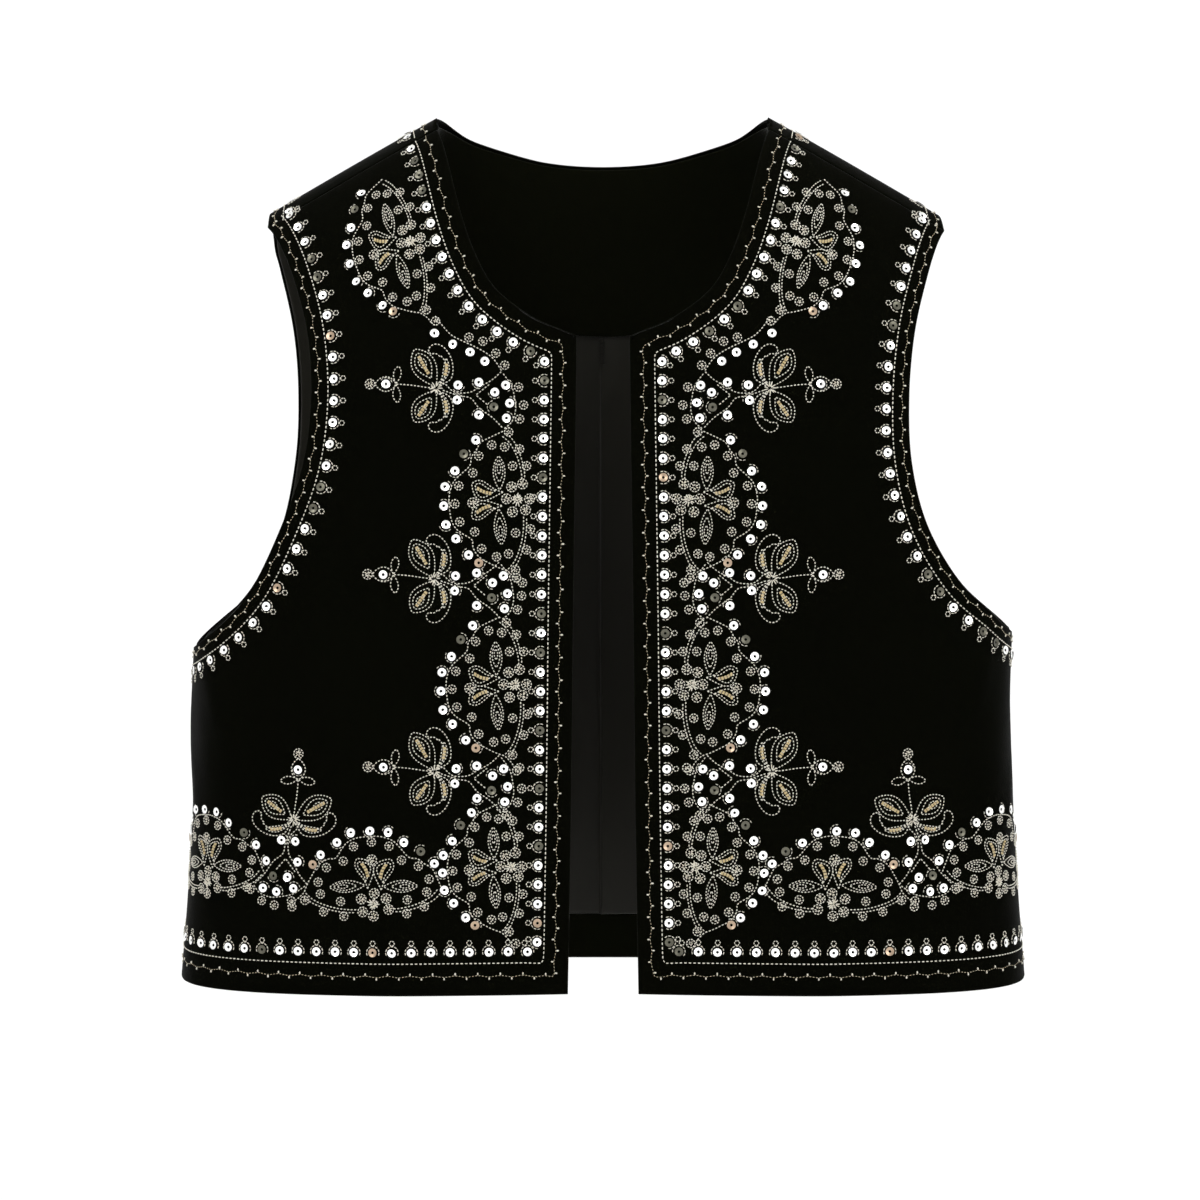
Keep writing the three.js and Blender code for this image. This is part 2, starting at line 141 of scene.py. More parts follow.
# Motifs of the embroidery. The first is the palmette, about its knot: across towards the edge that it
# grows from, and along that edge
PALMETTE_LINES = [
    [(-1, 0), (-6, -0.5), (-13, -1.5), (-20.5, -2)],
    [
        (1, -1.5), (7, -4), (8.5, -8.5), (8, -13.5), (6, -18), (2.5, -21.5), (-1.5, -22), (-4, -19.5),
        (-3, -17), (0, -17.5), (2, -15.5),
    ],
    [(1, -2.5), (4, -5), (5, -9), (4.5, -13.5), (2, -16.5)],
    [
        (1, 1.5), (6.5, 4), (8.5, 8.5), (8, 13.5), (6, 18), (2.5, 21.5), (-1.5, 22), (-4, 19.5),
        (-3, 17), (0, 17.5), (2, 15.5),
    ],
    [(1, 2.5), (4, 5), (5, 9), (4.5, 13.5), (2, 16.5)],
    [(2, -0.5), (4, -2.5), (7.5, 1), (11, 2.5), (17.5, 2), (21.5, -0.5), (28, -4), (33, -8.5)],
    [(3, 1), (7.5, 2.5), (12, 4), (17.5, 5), (21.5, 10), (28, 14.5), (33.5, 20)],
    [(20, 3.5), (27, -2)],
    [(20, 3.5), (26, 8.5)],
    [(33.5, -7.5), (38, -1), (39.5, 5.5), (40, 11), (38, 17), (34, 20.5)],
]
# Leaves: base, tip, width, how far the belly lies along, bend, nested outlines, gold core
PALMETTE_LEAVES = [
    (0, -0.5, -11, -19.5, 12, 1.25, 0, 3, 1),
    (0, 1, -11, 17, 11.5, 1.25, 0, 3, 1),
    (-20.5, -2, -19, -11, 4, 1.3, 0, 1, 0),
    (-20.5, -2, -19.5, 7.5, 4, 1.3, 0, 1, 0),
    (-20, -2, -31, -2, 7.5, 1.0, 0, 1, 0),
    (2, -2, 5, -15, 3, 1.3, 1.5, 1, 1),
    (2, 2, 5, 15, 3, 1.3, -1.5, 1, 1),
]
# Swirled dots
PALMETTE_SWIRLS = [
    (41.5, -0.5), (44, 8.5), (42, 15.5), (36.5, 22),
]
# Sequins and their tones
PALMETTE_SEQUINS = [
    (-25.5, -2, "silver"), (11, -1.5, "silver"), (10.5, 6, "silver"), (21.5, -3, "silver"),
    (29.5, 2, "silver"), (35, -1.5, "silver"), (37, 7.5, "silver"), (29, 9.5, "dark"),
    (35.5, 15, "silver"), (21.5, 13.5, "silver"),
]
# Open rings and their radii
PALMETTE_RINGS = [
    (-33.5, -2, 2.5),
]
# Medallion, about its flower
MEDALLION_LINES = [
    [
        (-7, -34.5), (-13.5, -31.5), (-19, -28.5), (-20.5, -25), (-23.5, -21.5), (-23.5, -17.5),
        (-26, -15), (-31.5, -10), (-33.5, -6), (-34.5, -0.5), (-34, 6), (-33, 11), (-30.5, 15),
        (-26, 18), (-22.5, 20), (-22.5, 24), (-19, 29), (-14.5, 31.5), (-9.5, 34), (-5, 35.5),
    ],
    [(-8, -32), (-4, -28.5), (0, -21), (2, -13), (2, -10)],
    [(-6, -33.5), (-2, -29.5), (1.5, -22), (3.5, -14), (3.5, -11)],
    [(3, 8), (3, 14), (2, 21), (0, 27.5), (-2, 31.5), (-5, 35)],
    [(4.5, 9), (4.5, 14.5), (3.5, 21.5), (1.5, 28), (-0.5, 32.5), (-3, 36)],
    [(-5, 35.5), (-1.5, 39), (0, 42)],
]
# Leaves and paisleys, in the same columns
MEDALLION_LEAVES = [
    (-9, -5, -9.5, -22, 6, 1.1, 0, 3, 0),
    (-9.5, 4.5, -8, 22.5, 6, 1.1, 0, 3, 0),
    (-7, -4, -23, -8, 9.5, 1.7, -2.5, 2, 1),
    (-7.5, 3, -23, 9, 8.5, 1.7, 2.5, 2, 1),
]
# Swirled dots
MEDALLION_SWIRLS = [
    (-13, -27.5), (-6.5, -26.5), (-19.5, -22), (-22.5, -13.5), (-29.5, -7), (-31.5, 2), (-29, 11),
    (-21.5, 16), (-18, 24.5), (-10.5, 28.5), (-4.5, 27), (-1, 16.5), (-2.5, -17), (1, -25.5),
    (4.5, -17), (6.5, 14.5), (4.5, 25), (-1, 35), (2.5, 41.5),
]
# Sequins along the outer stem and their tones
MEDALLION_SEQUINS = [
    (-21, -30, "silver"), (-27, -23, "dark"), (-31.5, -14.5, "silver"), (-36.5, -6.5, "silver"),
    (-37, 3, "silver"), (-36, 12.5, "silver"), (-31, 19.5, "silver"), (-24.5, 27.5, "silver"),
    (-19.5, 31.5, "copper"),
]
# Flower petals, its eye and the tip ring, with their radii
MEDALLION_RINGS = [
    (-3, -6.5, 2.5), (2.5, -8, 2.5), (6, -0.5, 2.5), (4, 5, 2.5), (-2.5, 6, 2.5), (-5.5, -0.5, 2.5),
    (0, -0.5, 2), (-22.5, 1.5, 2.5),
]

# Soft folds: distance round at the top, height of the top, distance round at the foot, height of the
# foot, half width and height of the fold. The first rows are the solids' own, the rest are small creases.
FRONT_FOLDS = [
    (236, -236, 243, -320, 9, -1.2),
    (-240, -246, -236, -330, 10, 1.8),
    (190, -205, 204, -405, 22, 2.6),
    (-200, -205, -192, -405, 24, 3),
    (104, -330, 112, -450, 22, 1.8),
    (-110, -330, -104, -450, 22, 1.8),
    (206, -238, 182, -300, 6, 1.1),
    (-214, -252, -186, -312, 7, 1.0),
    (228, -300, 214, -352, 7, 0.9),
    (-232, -292, -216, -350, 8, 0.9),
    (150, -40, 128, -120, 10, 0.8),
    (-152, -44, -132, -128, 11, 0.8),
    (60, -180, 66, -330, 13, 0.7),
    (-64, -200, -58, -340, 13, 0.7),
    (196, -300, 170, -376, 9, -0.8),
    (-190, -322, -166, -392, 9, -0.8),
]
BACK_FOLDS = [
    (196, -215, 172, -400, 22, 3),
    (-196, -215, -168, -400, 22, 3),
    (76, -300, 80, -450, 24, 2.4),
    (-66, -290, -78, -450, 24, 2.4),
    (214, -244, 186, -310, 7, 1.0),
    (-212, -250, -184, -318, 7, 1.0),
    (20, -60, 34, -190, 14, 0.8),
    (-26, -70, -40, -210, 14, 0.8),
    (132, -60, 118, -150, 12, 0.8),
    (-134, -66, -116, -160, 12, 0.8),
    (130, -250, 112, -370, 12, -0.8),
    (-126, -262, -108, -380, 12, -0.8),
]
# Creases of the lining alone, in the same columns
LINING_FOLDS = [
    (34, -120, 26, -400, 9, 0.9),
    (-30, -130, -40, -396, 10, 0.9),
    (70, -110, 60, -380, 12, 0.8),
    (-74, -118, -58, -385, 12, 0.8),
    (12, -150, 17, -300, 4, 0.5),
    (-14, -200, -11, -380, 4, 0.5),
]


def unit(vectors):
    """Vectors divided by their lengths."""
    return vectors / np.maximum(np.linalg.norm(vectors, axis=-1, keepdims=True), 1e-12)


def column(key, z):
    """One column of FIGURE at heights z: a cubic through each two rows, with the slope at a row taken
    from the rows on both sides of it."""
    heights = FIGURE[:, 0]
    values = FIGURE[:, key]
    last = len(heights) - 1
    at = np.clip(z, heights[0], heights[-1])
    low = np.clip(np.searchsorted(heights, at, side="right") - 1, 0, last - 1)
    after = np.minimum(np.arange(last + 1) + 1, last)
    before = np.maximum(np.arange(last + 1) - 1, 0)
    slope = (values[after] - values[before]) / (heights[after] - heights[before])
    span = heights[low + 1] - heights[low]
    t = (at - heights[low]) / span
    start = (2 * t**3 - 3 * t**2 + 1) * values[low] + (t**3 - 2 * t**2 + t) * span * slope[low]
    end = (3 * t**2 - 2 * t**3) * values[low + 1] + (t**3 - t**2) * span * slope[low + 1]
    return start + end


RIDGE_TOP = NECK_POINT[1] + SHOULDER_SLOPE * math.hypot(NECK_POINT[0], NECK_BLEND)


def ridge(x):
    """Height of the top of the shoulder: a hyperbola that falls away from the neck."""
    return RIDGE_TOP - SHOULDER_SLOPE * np.hypot(x, NECK_BLEND)


def section_depth(share):
    """Depth of a level section at a share of its half width: the third root of one minus its cube."""
    power = np.minimum(1, np.abs(share)) ** SIDE_SQUARENESS
    return (1 - power) ** (1 / SIDE_SQUARENESS)


def quarter_table(count=400):
    """Share of the half width against distance round a quarter of the bust's section. Half of the rows
    crowd towards the side seam, where the section turns fastest: their depth shares are squares."""
    step = np.arange(count + 1) / count
    evenly = np.sin(np.pi / 2 * step) ** (2 / SIDE_SQUARENESS)
    at_side = (1 - step ** (2 * SIDE_SQUARENESS)) ** (1 / SIDE_SQUARENESS)
    across = np.unique(np.concatenate([evenly, at_side]))
    bust = FIGURE[BUST_ROW]
    x = bust[HALF_WIDTH] * across
    y = bust[FRONT_DEPTH] * section_depth(across)
    length = np.concatenate([[0], np.cumsum(np.hypot(np.diff(x), np.diff(y)))])
    return across, length


ACROSS, LENGTH = quarter_table()
QUARTER_GIRTH = LENGTH[-1]
AT_SIDE_SEAM = QUARTER_GIRTH - SEAM_GAP / 2


def round_from(x, z):
    """Distance round from the centre line of a point x across at height z."""
    share = np.asarray(x) / column(HALF_WIDTH, z)
    return np.sign(share) * np.interp(np.abs(share), ACROSS, LENGTH)


def share_at(round_):
    """Share of the half width at a distance round."""
    return np.sign(round_) * np.interp(np.abs(round_), LENGTH, ACROSS)


def fold_height(folds, round_, z):
    """Sum of the folds: each is a bell across, and along it a half wave to the power 1.5."""
    total = np.zeros(np.broadcast(round_, z).shape)
    for start, top, end, foot, width, height in folds:
        along = np.clip((top - z) / (top - foot), 0, 1)
        away = (round_ - (start + along * (end - start))) / width
        total = total + height * np.sin(np.pi * along).clip(0) ** 1.5 * np.exp(-away * away)
    return total


def to_place(side, x, z):
    """Place of a point seen straight from the front or the back."""
    drop = FRONT_SHOULDER_DROP if side == "front" else BACK_SHOULDER_DROP
    down = np.maximum(0, ridge(x) - z)
    over = drop * np.arccos(1 - np.minimum(1, down / drop)) + np.maximum(0, down - drop)
    over = -over if side == "front" else over
    return np.stack(np.broadcast_arrays(round_from(x, z), over), axis=-1)


def on_figure(place):
    """Point of the figure at a place: over is a quarter circle of the shoulder's drop and then straight
    down, and the section at that height gives across and depth."""
    round_, over = place[..., 0], place[..., 1]
    front = over < 0
    drop = np.where(front, FRONT_SHOULDER_DROP, BACK_SHOULDER_DROP)
    length = np.abs(over)
    bend = np.minimum(length / drop, np.pi / 2)
    down = drop * (1 - np.cos(bend)) + np.maximum(0, length - drop * np.pi / 2)
    share = share_at(round_)
    x = np.zeros_like(share)
    for _ in range(12):
        z = ridge(x) - down
        x = column(HALF_WIDTH, z) * share
    depth = np.where(front, -column(FRONT_DEPTH, z), column(BACK_DEPTH, z))
    return np.stack([x, depth * np.sin(bend) * section_depth(share), z], axis=-1)


def tangents(place, step=0.5):
    """How the point moves for a millimetre round and for a millimetre over, from short steps."""
    low = np.maximum(-QUARTER_GIRTH, place[..., 0] - step)
    high = np.minimum(QUARTER_GIRTH, place[..., 0] + step)
    here = place[..., 1]
    across = on_figure(np.stack([high, here], -1)) - on_figure(np.stack([low, here], -1))
    over = on_figure(place + [0, step]) - on_figure(place - [0, step])
    return across / (high - low)[..., None], over / (2 * step)


def outwards(place):
    """Unit vector out of the figure: the cross product of the two tangents."""
    across, over = tangents(place)
    return unit(np.cross(across, over))


def edge(places):
    """Curve of places through corners, as a uniform cubic through them, by share of its length."""
    rows = np.asarray(places, dtype=float)
    count = len(rows)

    def point(t):
        at = (count - 1) * np.asarray(t, dtype=float)
        i = np.minimum(np.floor(at).astype(int), count - 1)
        w = (at - i)[..., None]
        p0, p1 = rows[np.maximum(i - 1, 0)], rows[i]
        p2, p3 = rows[np.minimum(i + 1, count - 1)], rows[np.minimum(i + 2, count - 1)]
        v0, v1 = (p2 - p0) / 2, (p3 - p1) / 2
        cube = 2 * p1 - 2 * p2 + v0 + v1
        square = 3 * p2 - 3 * p1 - 2 * v0 - v1
        return cube * w**3 + square * w**2 + v0 * w + p1

    stations = np.linspace(0, 1, 401)
    gone = np.linalg.norm(np.diff(point(stations), axis=0), axis=1)
    length = np.concatenate([[0], np.cumsum(gone)])
    return lambda share: point(np.interp(np.clip(share, 0, 1) * length[-1], length, stations))


def mirrored(place):
    """The same place on the other side of the centre line."""
    return place * [-1, 1]


def edge_to_middle(places):
    """Half of a curve that goes on mirrored past the centre line, so that it is level at the middle."""
    whole = edge(np.vstack([places, mirrored(places)[-2::-1]]))
    return lambda share: whole(np.clip(share, 0, 1) / 2)


def patch(bottom, top, start, end, us, vs, fall=1):
    """Grid of places inside four edges: the upright blend, plus how far each side stands off the straight
    line between its corners, which falls off across the grid by a power."""
    u = us[None, :, None]
    v = vs[:, None, None]
    low, high = bottom(us)[None], top(us)[None]
    near, far = start(vs)[:, None], end(vs)[:, None]
    upright = low + (high - low) * v
    near_off = near - (low[:, :1] + (high[:, :1] - low[:, :1]) * v)
    far_off = far - (low[:, -1:] + (high[:, -1:] - low[:, -1:]) * v)
    return upright + near_off * (1 - u) ** fall + far_off * u**fall


def seam_place(x, below):
    """A place on the front, a little below the top of the shoulder."""
    return to_place("front", x, ridge(x) - below)


def side_seam(side, z, inset=0):
    """Places down the side seam at heights z."""
    place = to_place(side, column(HALF_WIDTH, z), z)
    place[..., 0] = AT_SIDE_SEAM - inset
    return place


def hem_z(side, round_):
    """Height of the hem's edge: it rises by powers of the share of the way to the side seam."""
    share = np.abs(round_) / QUARTER_GIRTH
    at_opening = HEM_RISE_AT_OPENING * (1 - share) ** 3 if side == "front" else 0
    return HEM_Z + HEM_RISE_AT_SIDE * share**8 + at_opening


SIDE_HEM_Z = HEM_Z + HEM_RISE_AT_SIDE


def hem_line(side, above, start, end):
    """Line along the hem at a distance above its edge, between two distances round."""

    def line(u):
        round_ = start + (end - start) * np.asarray(u, dtype=float)
        z = hem_z(side, round_) + above
        place = to_place(side, column(HALF_WIDTH, z) * share_at(round_), z)
        place[..., 0] = round_
        return place

    return line


def armhole_places(side, hand, rows, inset=0):
    """Corners of an armhole from the underarm up: towards the side seam it is raised on the higher side."""
    x, z = np.array(rows, dtype=float).T
    inner, outer = ARMHOLE_RAISED_FROM
    share = np.clip((x - inner) / (outer - inner), 0, 1)
    raised = UNDERARM_Z[hand] - UNDERARM_Z["right"]
    return to_place(side, x - inset, z - inset * share + raised * share)


def front_edges(hand):
    """The edges of one front: opening and neckline, side seam and armhole, hem, shoulder seam."""
    under = UNDERARM_Z[hand]
    to_underarm, to_neck = 0.385, 0.72
    rows = lambda table: to_place("front", *np.array(table, dtype=float).T)
    opening = edge(rows(OPENING_EDGE))
    neckline = edge(np.vstack([rows(FRONT_NECKLINE), seam_place(NECK_SEAM_X, SEAM_BELOW_RIDGE)]))
    armhole = edge(
        np.vstack(
            [
                side_seam("front", under),
                armhole_places("front", hand, FRONT_ARMHOLE[hand]),
                seam_place(SHOULDER_TIP_X[hand], SEAM_BELOW_RIDGE),
            ]
        )
    )

    def start(v):
        low, high = opening(v / to_neck), neckline((v - to_neck) / (1 - to_neck))
        return np.where(v[:, None] <= to_neck, low, high)

    def end(v):
        z = SIDE_HEM_Z + (under - SIDE_HEM_Z) * np.minimum(1, v / to_underarm)
        high = armhole((v - to_underarm) / (1 - to_underarm))
        return np.where(v[:, None] <= to_underarm, side_seam("front", z), high)

    ends = np.array([0.0, 1.0])
    bottom = hem_line("front", 0, start(ends)[0, 0], end(ends)[0, 0])
    top = lambda u: start(ends)[1] + (end(ends)[1] - start(ends)[1]) * np.asarray(u)[:, None]
    return bottom, top, start, end, opening, neckline, armhole


def back_neck_rows(inset):
    """Corners of the back's neckline, set in from the velvet's edge."""
    rows = [NECK_POINT, *BACK_NECKLINE]
    return [(x + (inset if i < 2 else 0), z - inset) for i, (x, z) in enumerate(rows)]


def back_edges(above_hem, inset, neck_inset):
    """The edges of the back or its lining: hem, shoulders and neckline, and both sides."""
    foot = SIDE_HEM_Z + above_hem
    to_underarm, shoulder = 0.41, 0.25
    under_seam = SEAM_BELOW_RIDGE - SEAM_GAP - inset / 3
    outer = {hand: seam_place(tip - inset, under_seam) for hand, tip in SHOULDER_TIP_X.items()}
    inner = seam_place(NECK_SEAM_X + neck_inset, under_seam)
    holes = {}
    for hand in ("left", "right"):
        corners = [
            side_seam("back", UNDERARM_Z[hand] - inset, inset),
            armhole_places("back", hand, BACK_ARMHOLE, inset),
            outer[hand],
        ]
        holes[hand] = edge(np.vstack(corners))
    neck = edge_to_middle(np.vstack([inner, to_place("back", *np.array(back_neck_rows(neck_inset)).T)]))

    def side(hand):
        under = UNDERARM_Z[hand] - inset

        def line(v):
            z = foot + (under - foot) * np.minimum(1, v / to_underarm)
            high = holes[hand]((v - to_underarm) / (1 - to_underarm))
            place = np.where(v[:, None] <= to_underarm, side_seam("back", z, inset), high)
            return place if hand == "left" else mirrored(place)

        return line

    def top(u):
        from_end = np.minimum(u, 1 - u)
        tip = np.where((u < 0.5)[:, None], outer["right"], outer["left"])
        along = tip + (inner - tip) * np.minimum(1, from_end / shoulder)[:, None]
        round_neck = neck((from_end - shoulder) / (0.5 - shoulder))
        place = np.where((from_end <= shoulder)[:, None], along, round_neck)
        return np.where((u < 0.5)[:, None], mirrored(place), place)

    start, end = side("right"), side("left")
    ends = np.array([0.0, 1.0])
    bottom = hem_line("back", above_hem, start(ends)[0, 0], end(ends)[0, 0])
    return bottom, top, start, end, neck, holes


def front_lift(place, point):
    """How far a front's outer face lies out of the figure."""
    return fold_height(FRONT_FOLDS, place[..., 0], point[..., 2])


def back_lift(place, point):
    """How far the back's outer face lies out of the figure."""
    return fold_height(BACK_FOLDS, place[..., 0], point[..., 2])


def pleat(x, z, lift):
    """How far the pleat stands in: a squared rise towards its folded edge, then a step."""
    opened = np.clip((NECK_FACING_FOOT_Z - z) / PLEAT_WIDTH, 0, 1)
    along = PLEAT_X - x
    rise = np.clip(1 + along / PLEAT_WIDTH, 0, 1) ** 2
    step = np.clip((PLEAT_EDGE - along) / PLEAT_EDGE, 0, 1)
    return opened * lift * np.where(along > 0, step, rise)


def rim_headings(middle):
    """Unit vectors out of the cloth's four edges, square to each edge, in the order of the rim loop."""

    def out_of(outer, inner):
        heading = outer - inner
        along = unit(np.gradient(outer, axis=0))
        return unit(heading - np.sum(heading * along, axis=-1, keepdims=True) * along)

    low, high = out_of(middle[0], middle[1]), out_of(middle[-1], middle[-2])
    near, far = out_of(middle[:, 0], middle[:, 1]), out_of(middle[:, -1], middle[:, -2])
    corners = [low[0] + near[0], low[-1] + far[0], high[-1] + far[-1], high[0] + near[-1]]
    corners = unit(np.stack(corners))
    low[0] = near[0] = corners[0]
    low[-1] = far[0] = corners[1]
    high[-1] = far[-1] = corners[2]
    high[0] = near[-1] = corners[3]
    return np.concatenate([low, far[1:], high[-2::-1], near[-2:0:-1]])


def cloth_wall(place, lift, thickness):
    """Closed wall of cloth on a grid of places: an outer and an inner face, joined all round by a half
    circle whose radius is half the thickness."""
    tall, wide = place.shape[:2]
    out = outwards(place)
    radius = thickness / 2
    middle = on_figure(place) + out * (lift - radius)[..., None]
    number = np.arange(tall * wide).reshape(tall, wide)
    rim = np.concatenate([number[0], number[1:, -1], number[-1, -2::-1], number[-2:0:-1, 0]])
    heading = rim_headings(middle)
    flat = middle.reshape(-1, 3)
    flat[rim] -= heading * radius
    normal = out.reshape(-1, 3)
    turns = [math.pi / 4, math.pi / 2, 3 * math.pi / 4]
    loops = [
        flat[rim] + radius * (heading * math.sin(turn) + normal[rim] * math.cos(turn)) for turn in turns
    ]
    points = np.concatenate([flat + normal * radius, flat - normal * radius, *loops])
    corners = [number[:-1, :-1], number[:-1, 1:], number[1:, 1:], number[1:, :-1]]
    cells = np.stack(corners, -1).reshape(-1, 4)
    total = tall * wide
    count = len(rim)
    rings = [rim, *[2 * total + k * count + np.arange(count) for k in range(3)], total + rim]
    faces = [cells, total + cells[:, ::-1]]
    for upper, lower in zip(rings[:-1], rings[1:]):
        faces.append(np.stack([upper, lower, np.roll(lower, -1), np.roll(upper, -1)], -1))
    return points, np.concatenate(faces)


def facing_out(points, faces):
    """The faces of closed shells, turned round if the volume that they hold comes out below nothing."""
    a, b, c = (points[faces[:, k]] for k in range(3))
    volume = np.einsum("ij,ij->", a, np.cross(b, c))
    if faces.shape[1] == 4:
        volume += np.einsum("ij,ij->", a, np.cross(c, points[faces[:, 3]]))
    return faces if volume > 0 else faces[:, ::-1]


def make_piece(name, points, faces, material, tint=None):
    """A mesh object at the origin from points in millimetres and faces of one size."""
    faces = facing_out(points, faces)
    mesh = bpy.data.meshes.new(name)
    mesh.vertices.add(len(points))
    mesh.vertices.foreach_set("co", (points * 0.001).astype(np.float32).ravel())
    mesh.loops.add(faces.size)
    mesh.loops.foreach_set("vertex_index", faces.astype(np.int32).ravel())
    mesh.polygons.add(len(faces))
    mesh.polygons.foreach_set("loop_start", np.arange(len(faces), dtype=np.int32) * faces.shape[1])
    mesh.polygons.foreach_set("use_smooth", np.ones(len(faces), dtype=bool))
    mesh.update(calc_edges=True)
    if mesh.validate():
        raise RuntimeError(name + " has faces that the mesh check changed")
    if tint is not None:
        layer = mesh.attributes.new("tint", "FLOAT", "POINT")
        layer.data.foreach_set("value", tint.astype(np.float32))
    piece = bpy.data.objects.new(name, mesh)
    bpy.context.scene.collection.objects.link(piece)
    mesh.materials.append(material)
    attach(piece, "root")
    return piece


# Cloth: roughness, sheen, specular level, height of the nap in metres and scale of its grain
CLOTH_FINISHES = {
    "black_velvet": (0.95, 0.05, 0.012, 0.0004, 900),
    "facing_velvet": (0.95, 0.2, 0.012, 0.0004, 900),
    "lining_satin": (0.5, 0.3, 0.14, 0.0001, 1600),
    "lining_thread": (0.6, 0, 0.1, 0.00005, 1600),
}
# How much lighter the facings' velvet is made: painted light, a lighter copy of the same velvet that stands
# in for light on the shaded inside of the neck and hem
FACING_PAINTED_LIGHT = 2.4
LINING_THREAD_COLOUR = (0.004, 0.0038, 0.0026)
# Sequins: colour and roughness
SEQUIN_FILMS = {
    "silver_sequin": ((0.95, 0.95, 0.93), 0.22),
    "gold_sequin": ((0.4, 0.3, 0.215), 0.28),
    "dark_sequin": ((0.11, 0.106, 0.083), 0.3),
}
# Darkest and lightest shade of a cloth's colour, and the scale of the broad patches between them
SHADES = (0.72, 1.28)
PATCH_SCALE = 14


def cloth_material(name, colour, roughness, sheen, specular, nap, scale):
    """Cloth whose tone and height vary a little: the tone goes between two shades by the mean of a fine and
    a broad noise on Object coordinates, and the height by the fine one."""
    material = bpy.data.materials.new(name)
    material.use_nodes = True
    nodes, links = material.node_tree.nodes, material.node_tree.links
    shader = nodes["Principled BSDF"]
    shader.inputs["Roughness"].default_value = roughness
    shader.inputs["Sheen Weight"].default_value = sheen
    shader.inputs["Sheen Roughness"].default_value = 0.3
    shader.inputs["Specular IOR Level"].default_value = specular
    place = nodes.new("ShaderNodeTexCoord")
    fine = nodes.new("ShaderNodeTexNoise")
    fine.inputs["Scale"].default_value = scale
    fine.inputs["Detail"].default_value = 3
    broad = nodes.new("ShaderNodeTexNoise")
    broad.inputs["Scale"].default_value = PATCH_SCALE
    broad.inputs["Detail"].default_value = 2
    for noise in (fine, broad):
        links.new(place.outputs["Object"], noise.inputs["Vector"])
    tone = nodes.new("ShaderNodeMix")
    tone.data_type = "RGBA"
    for socket, shade in zip("AB", SHADES):
        tone.inputs[socket].default_value = (*[c * shade for c in colour], 1)
    both = nodes.new("ShaderNodeMath")
    both.operation = "MULTIPLY_ADD"
    both.inputs[1].default_value = 0.5
    half = nodes.new("ShaderNodeMath")
    half.operation = "MULTIPLY"
    half.inputs[1].default_value = 0.5
    links.new(broad.outputs["Fac"], half.inputs[0])
    links.new(fine.outputs["Fac"], both.inputs[0])
    links.new(half.outputs[0], both.inputs[2])
    links.new(both.outputs[0], tone.inputs["Factor"])
    links.new(tone.outputs["Result"], shader.inputs["Base Color"])
    bump = nodes.new("ShaderNodeBump")
    bump.inputs["Strength"].default_value = 0.5
    bump.inputs["Distance"].default_value = nap
    links.new(fine.outputs["Fac"], bump.inputs["Height"])
    links.new(bump.outputs["Normal"], shader.inputs["Normal"])
    return material


def thread_material(ivory, gold):
    """Satin thread whose colour goes from ivory to gold by the tint of each stitch."""
    material = bpy.data.materials.new("embroidery_thread")
    material.use_nodes = True
    nodes, links = material.node_tree.nodes, material.node_tree.links
    shader = nodes["Principled BSDF"]
    shader.inputs["Roughness"].default_value = 0.42
    shader.inputs["Sheen Weight"].default_value = 0.2
    tint = nodes.new("ShaderNodeAttribute")
    tint.attribute_name = "tint"
    tone = nodes.new("ShaderNodeMix")
    tone.data_type = "RGBA"
    tone.inputs["A"].default_value = (*ivory, 1)
    tone.inputs["B"].default_value = (*gold, 1)
    links.new(tint.outputs["Fac"], tone.inputs["Factor"])
    links.new(tone.outputs["Result"], shader.inputs["Base Color"])
    return material


def sequin_material(name, colour, roughness):
    """Bright metal-like film."""
    material = bpy.data.materials.new(name)
    material.use_nodes = True
    shader = material.node_tree.nodes["Principled BSDF"]
    shader.inputs["Base Color"].default_value = (*colour, 1)
    shader.inputs["Metallic"].default_value = 1
    shader.inputs["Roughness"].default_value = roughness
    return material


def finish(name):
    """One of the waistcoat's finishes, made the first time that it is asked for."""
    if name in bpy.data.materials:
        return bpy.data.materials[name]
    cloth = bpy.context.scene.waistcoat_cloth
    stitch = bpy.context.scene.waistcoat_embroidery
    if name == "embroidery_thread":
        return thread_material(tuple(stitch.ivory), tuple(stitch.gold))
    if name in SEQUIN_FILMS:
        return sequin_material(name, *SEQUIN_FILMS[name])
    colours = {
        "black_velvet": tuple(cloth.velvet_colour),
        # Painted light: the facings take the velvet's colour made lighter, to brighten them where they lie
        # in shade inside the waistcoat
        "facing_velvet": tuple(FACING_PAINTED_LIGHT * c for c in cloth.velvet_colour),
        "lining_satin": tuple(cloth.satin_colour),
        "lining_thread": LINING_THREAD_COLOUR,
    }
    return cloth_material(name, colours[name], *CLOTH_FINISHES[name])


class WaistcoatCloth(bpy.types.PropertyGroup):
    """Thicknesses and colours of the velvet, its facings and the satin"""

    velvet_thickness: FloatProperty(
        name="Velvet", description="Thickness of the velvet", default=0.0015, min=0.0005, unit="LENGTH"
    )
    facing_thickness: FloatProperty(
        name="Facings", description="Thickness of the facings", default=0.0011, min=0.0005, unit="LENGTH"
    )
    lining_thickness: FloatProperty(
        name="Lining", description="Thickness of the satin", default=0.001, min=0.0005, unit="LENGTH"
    )
    pleat_lift: FloatProperty(
        name="Pleat", description="How far the lining's pleat stands in", default=0.0026, unit="LENGTH"
    )
    velvet_colour: FloatVectorProperty(
        name="Velvet colour",
        description="Colour of the pile",
        subtype="COLOR",
        default=(0.0010, 0.0011, 0.0004),
    )
    satin_colour: FloatVectorProperty(
        name="Satin colour",
        description="Colour of the lining",
        subtype="COLOR",
        default=(0.0072, 0.0067, 0.0042),
    )


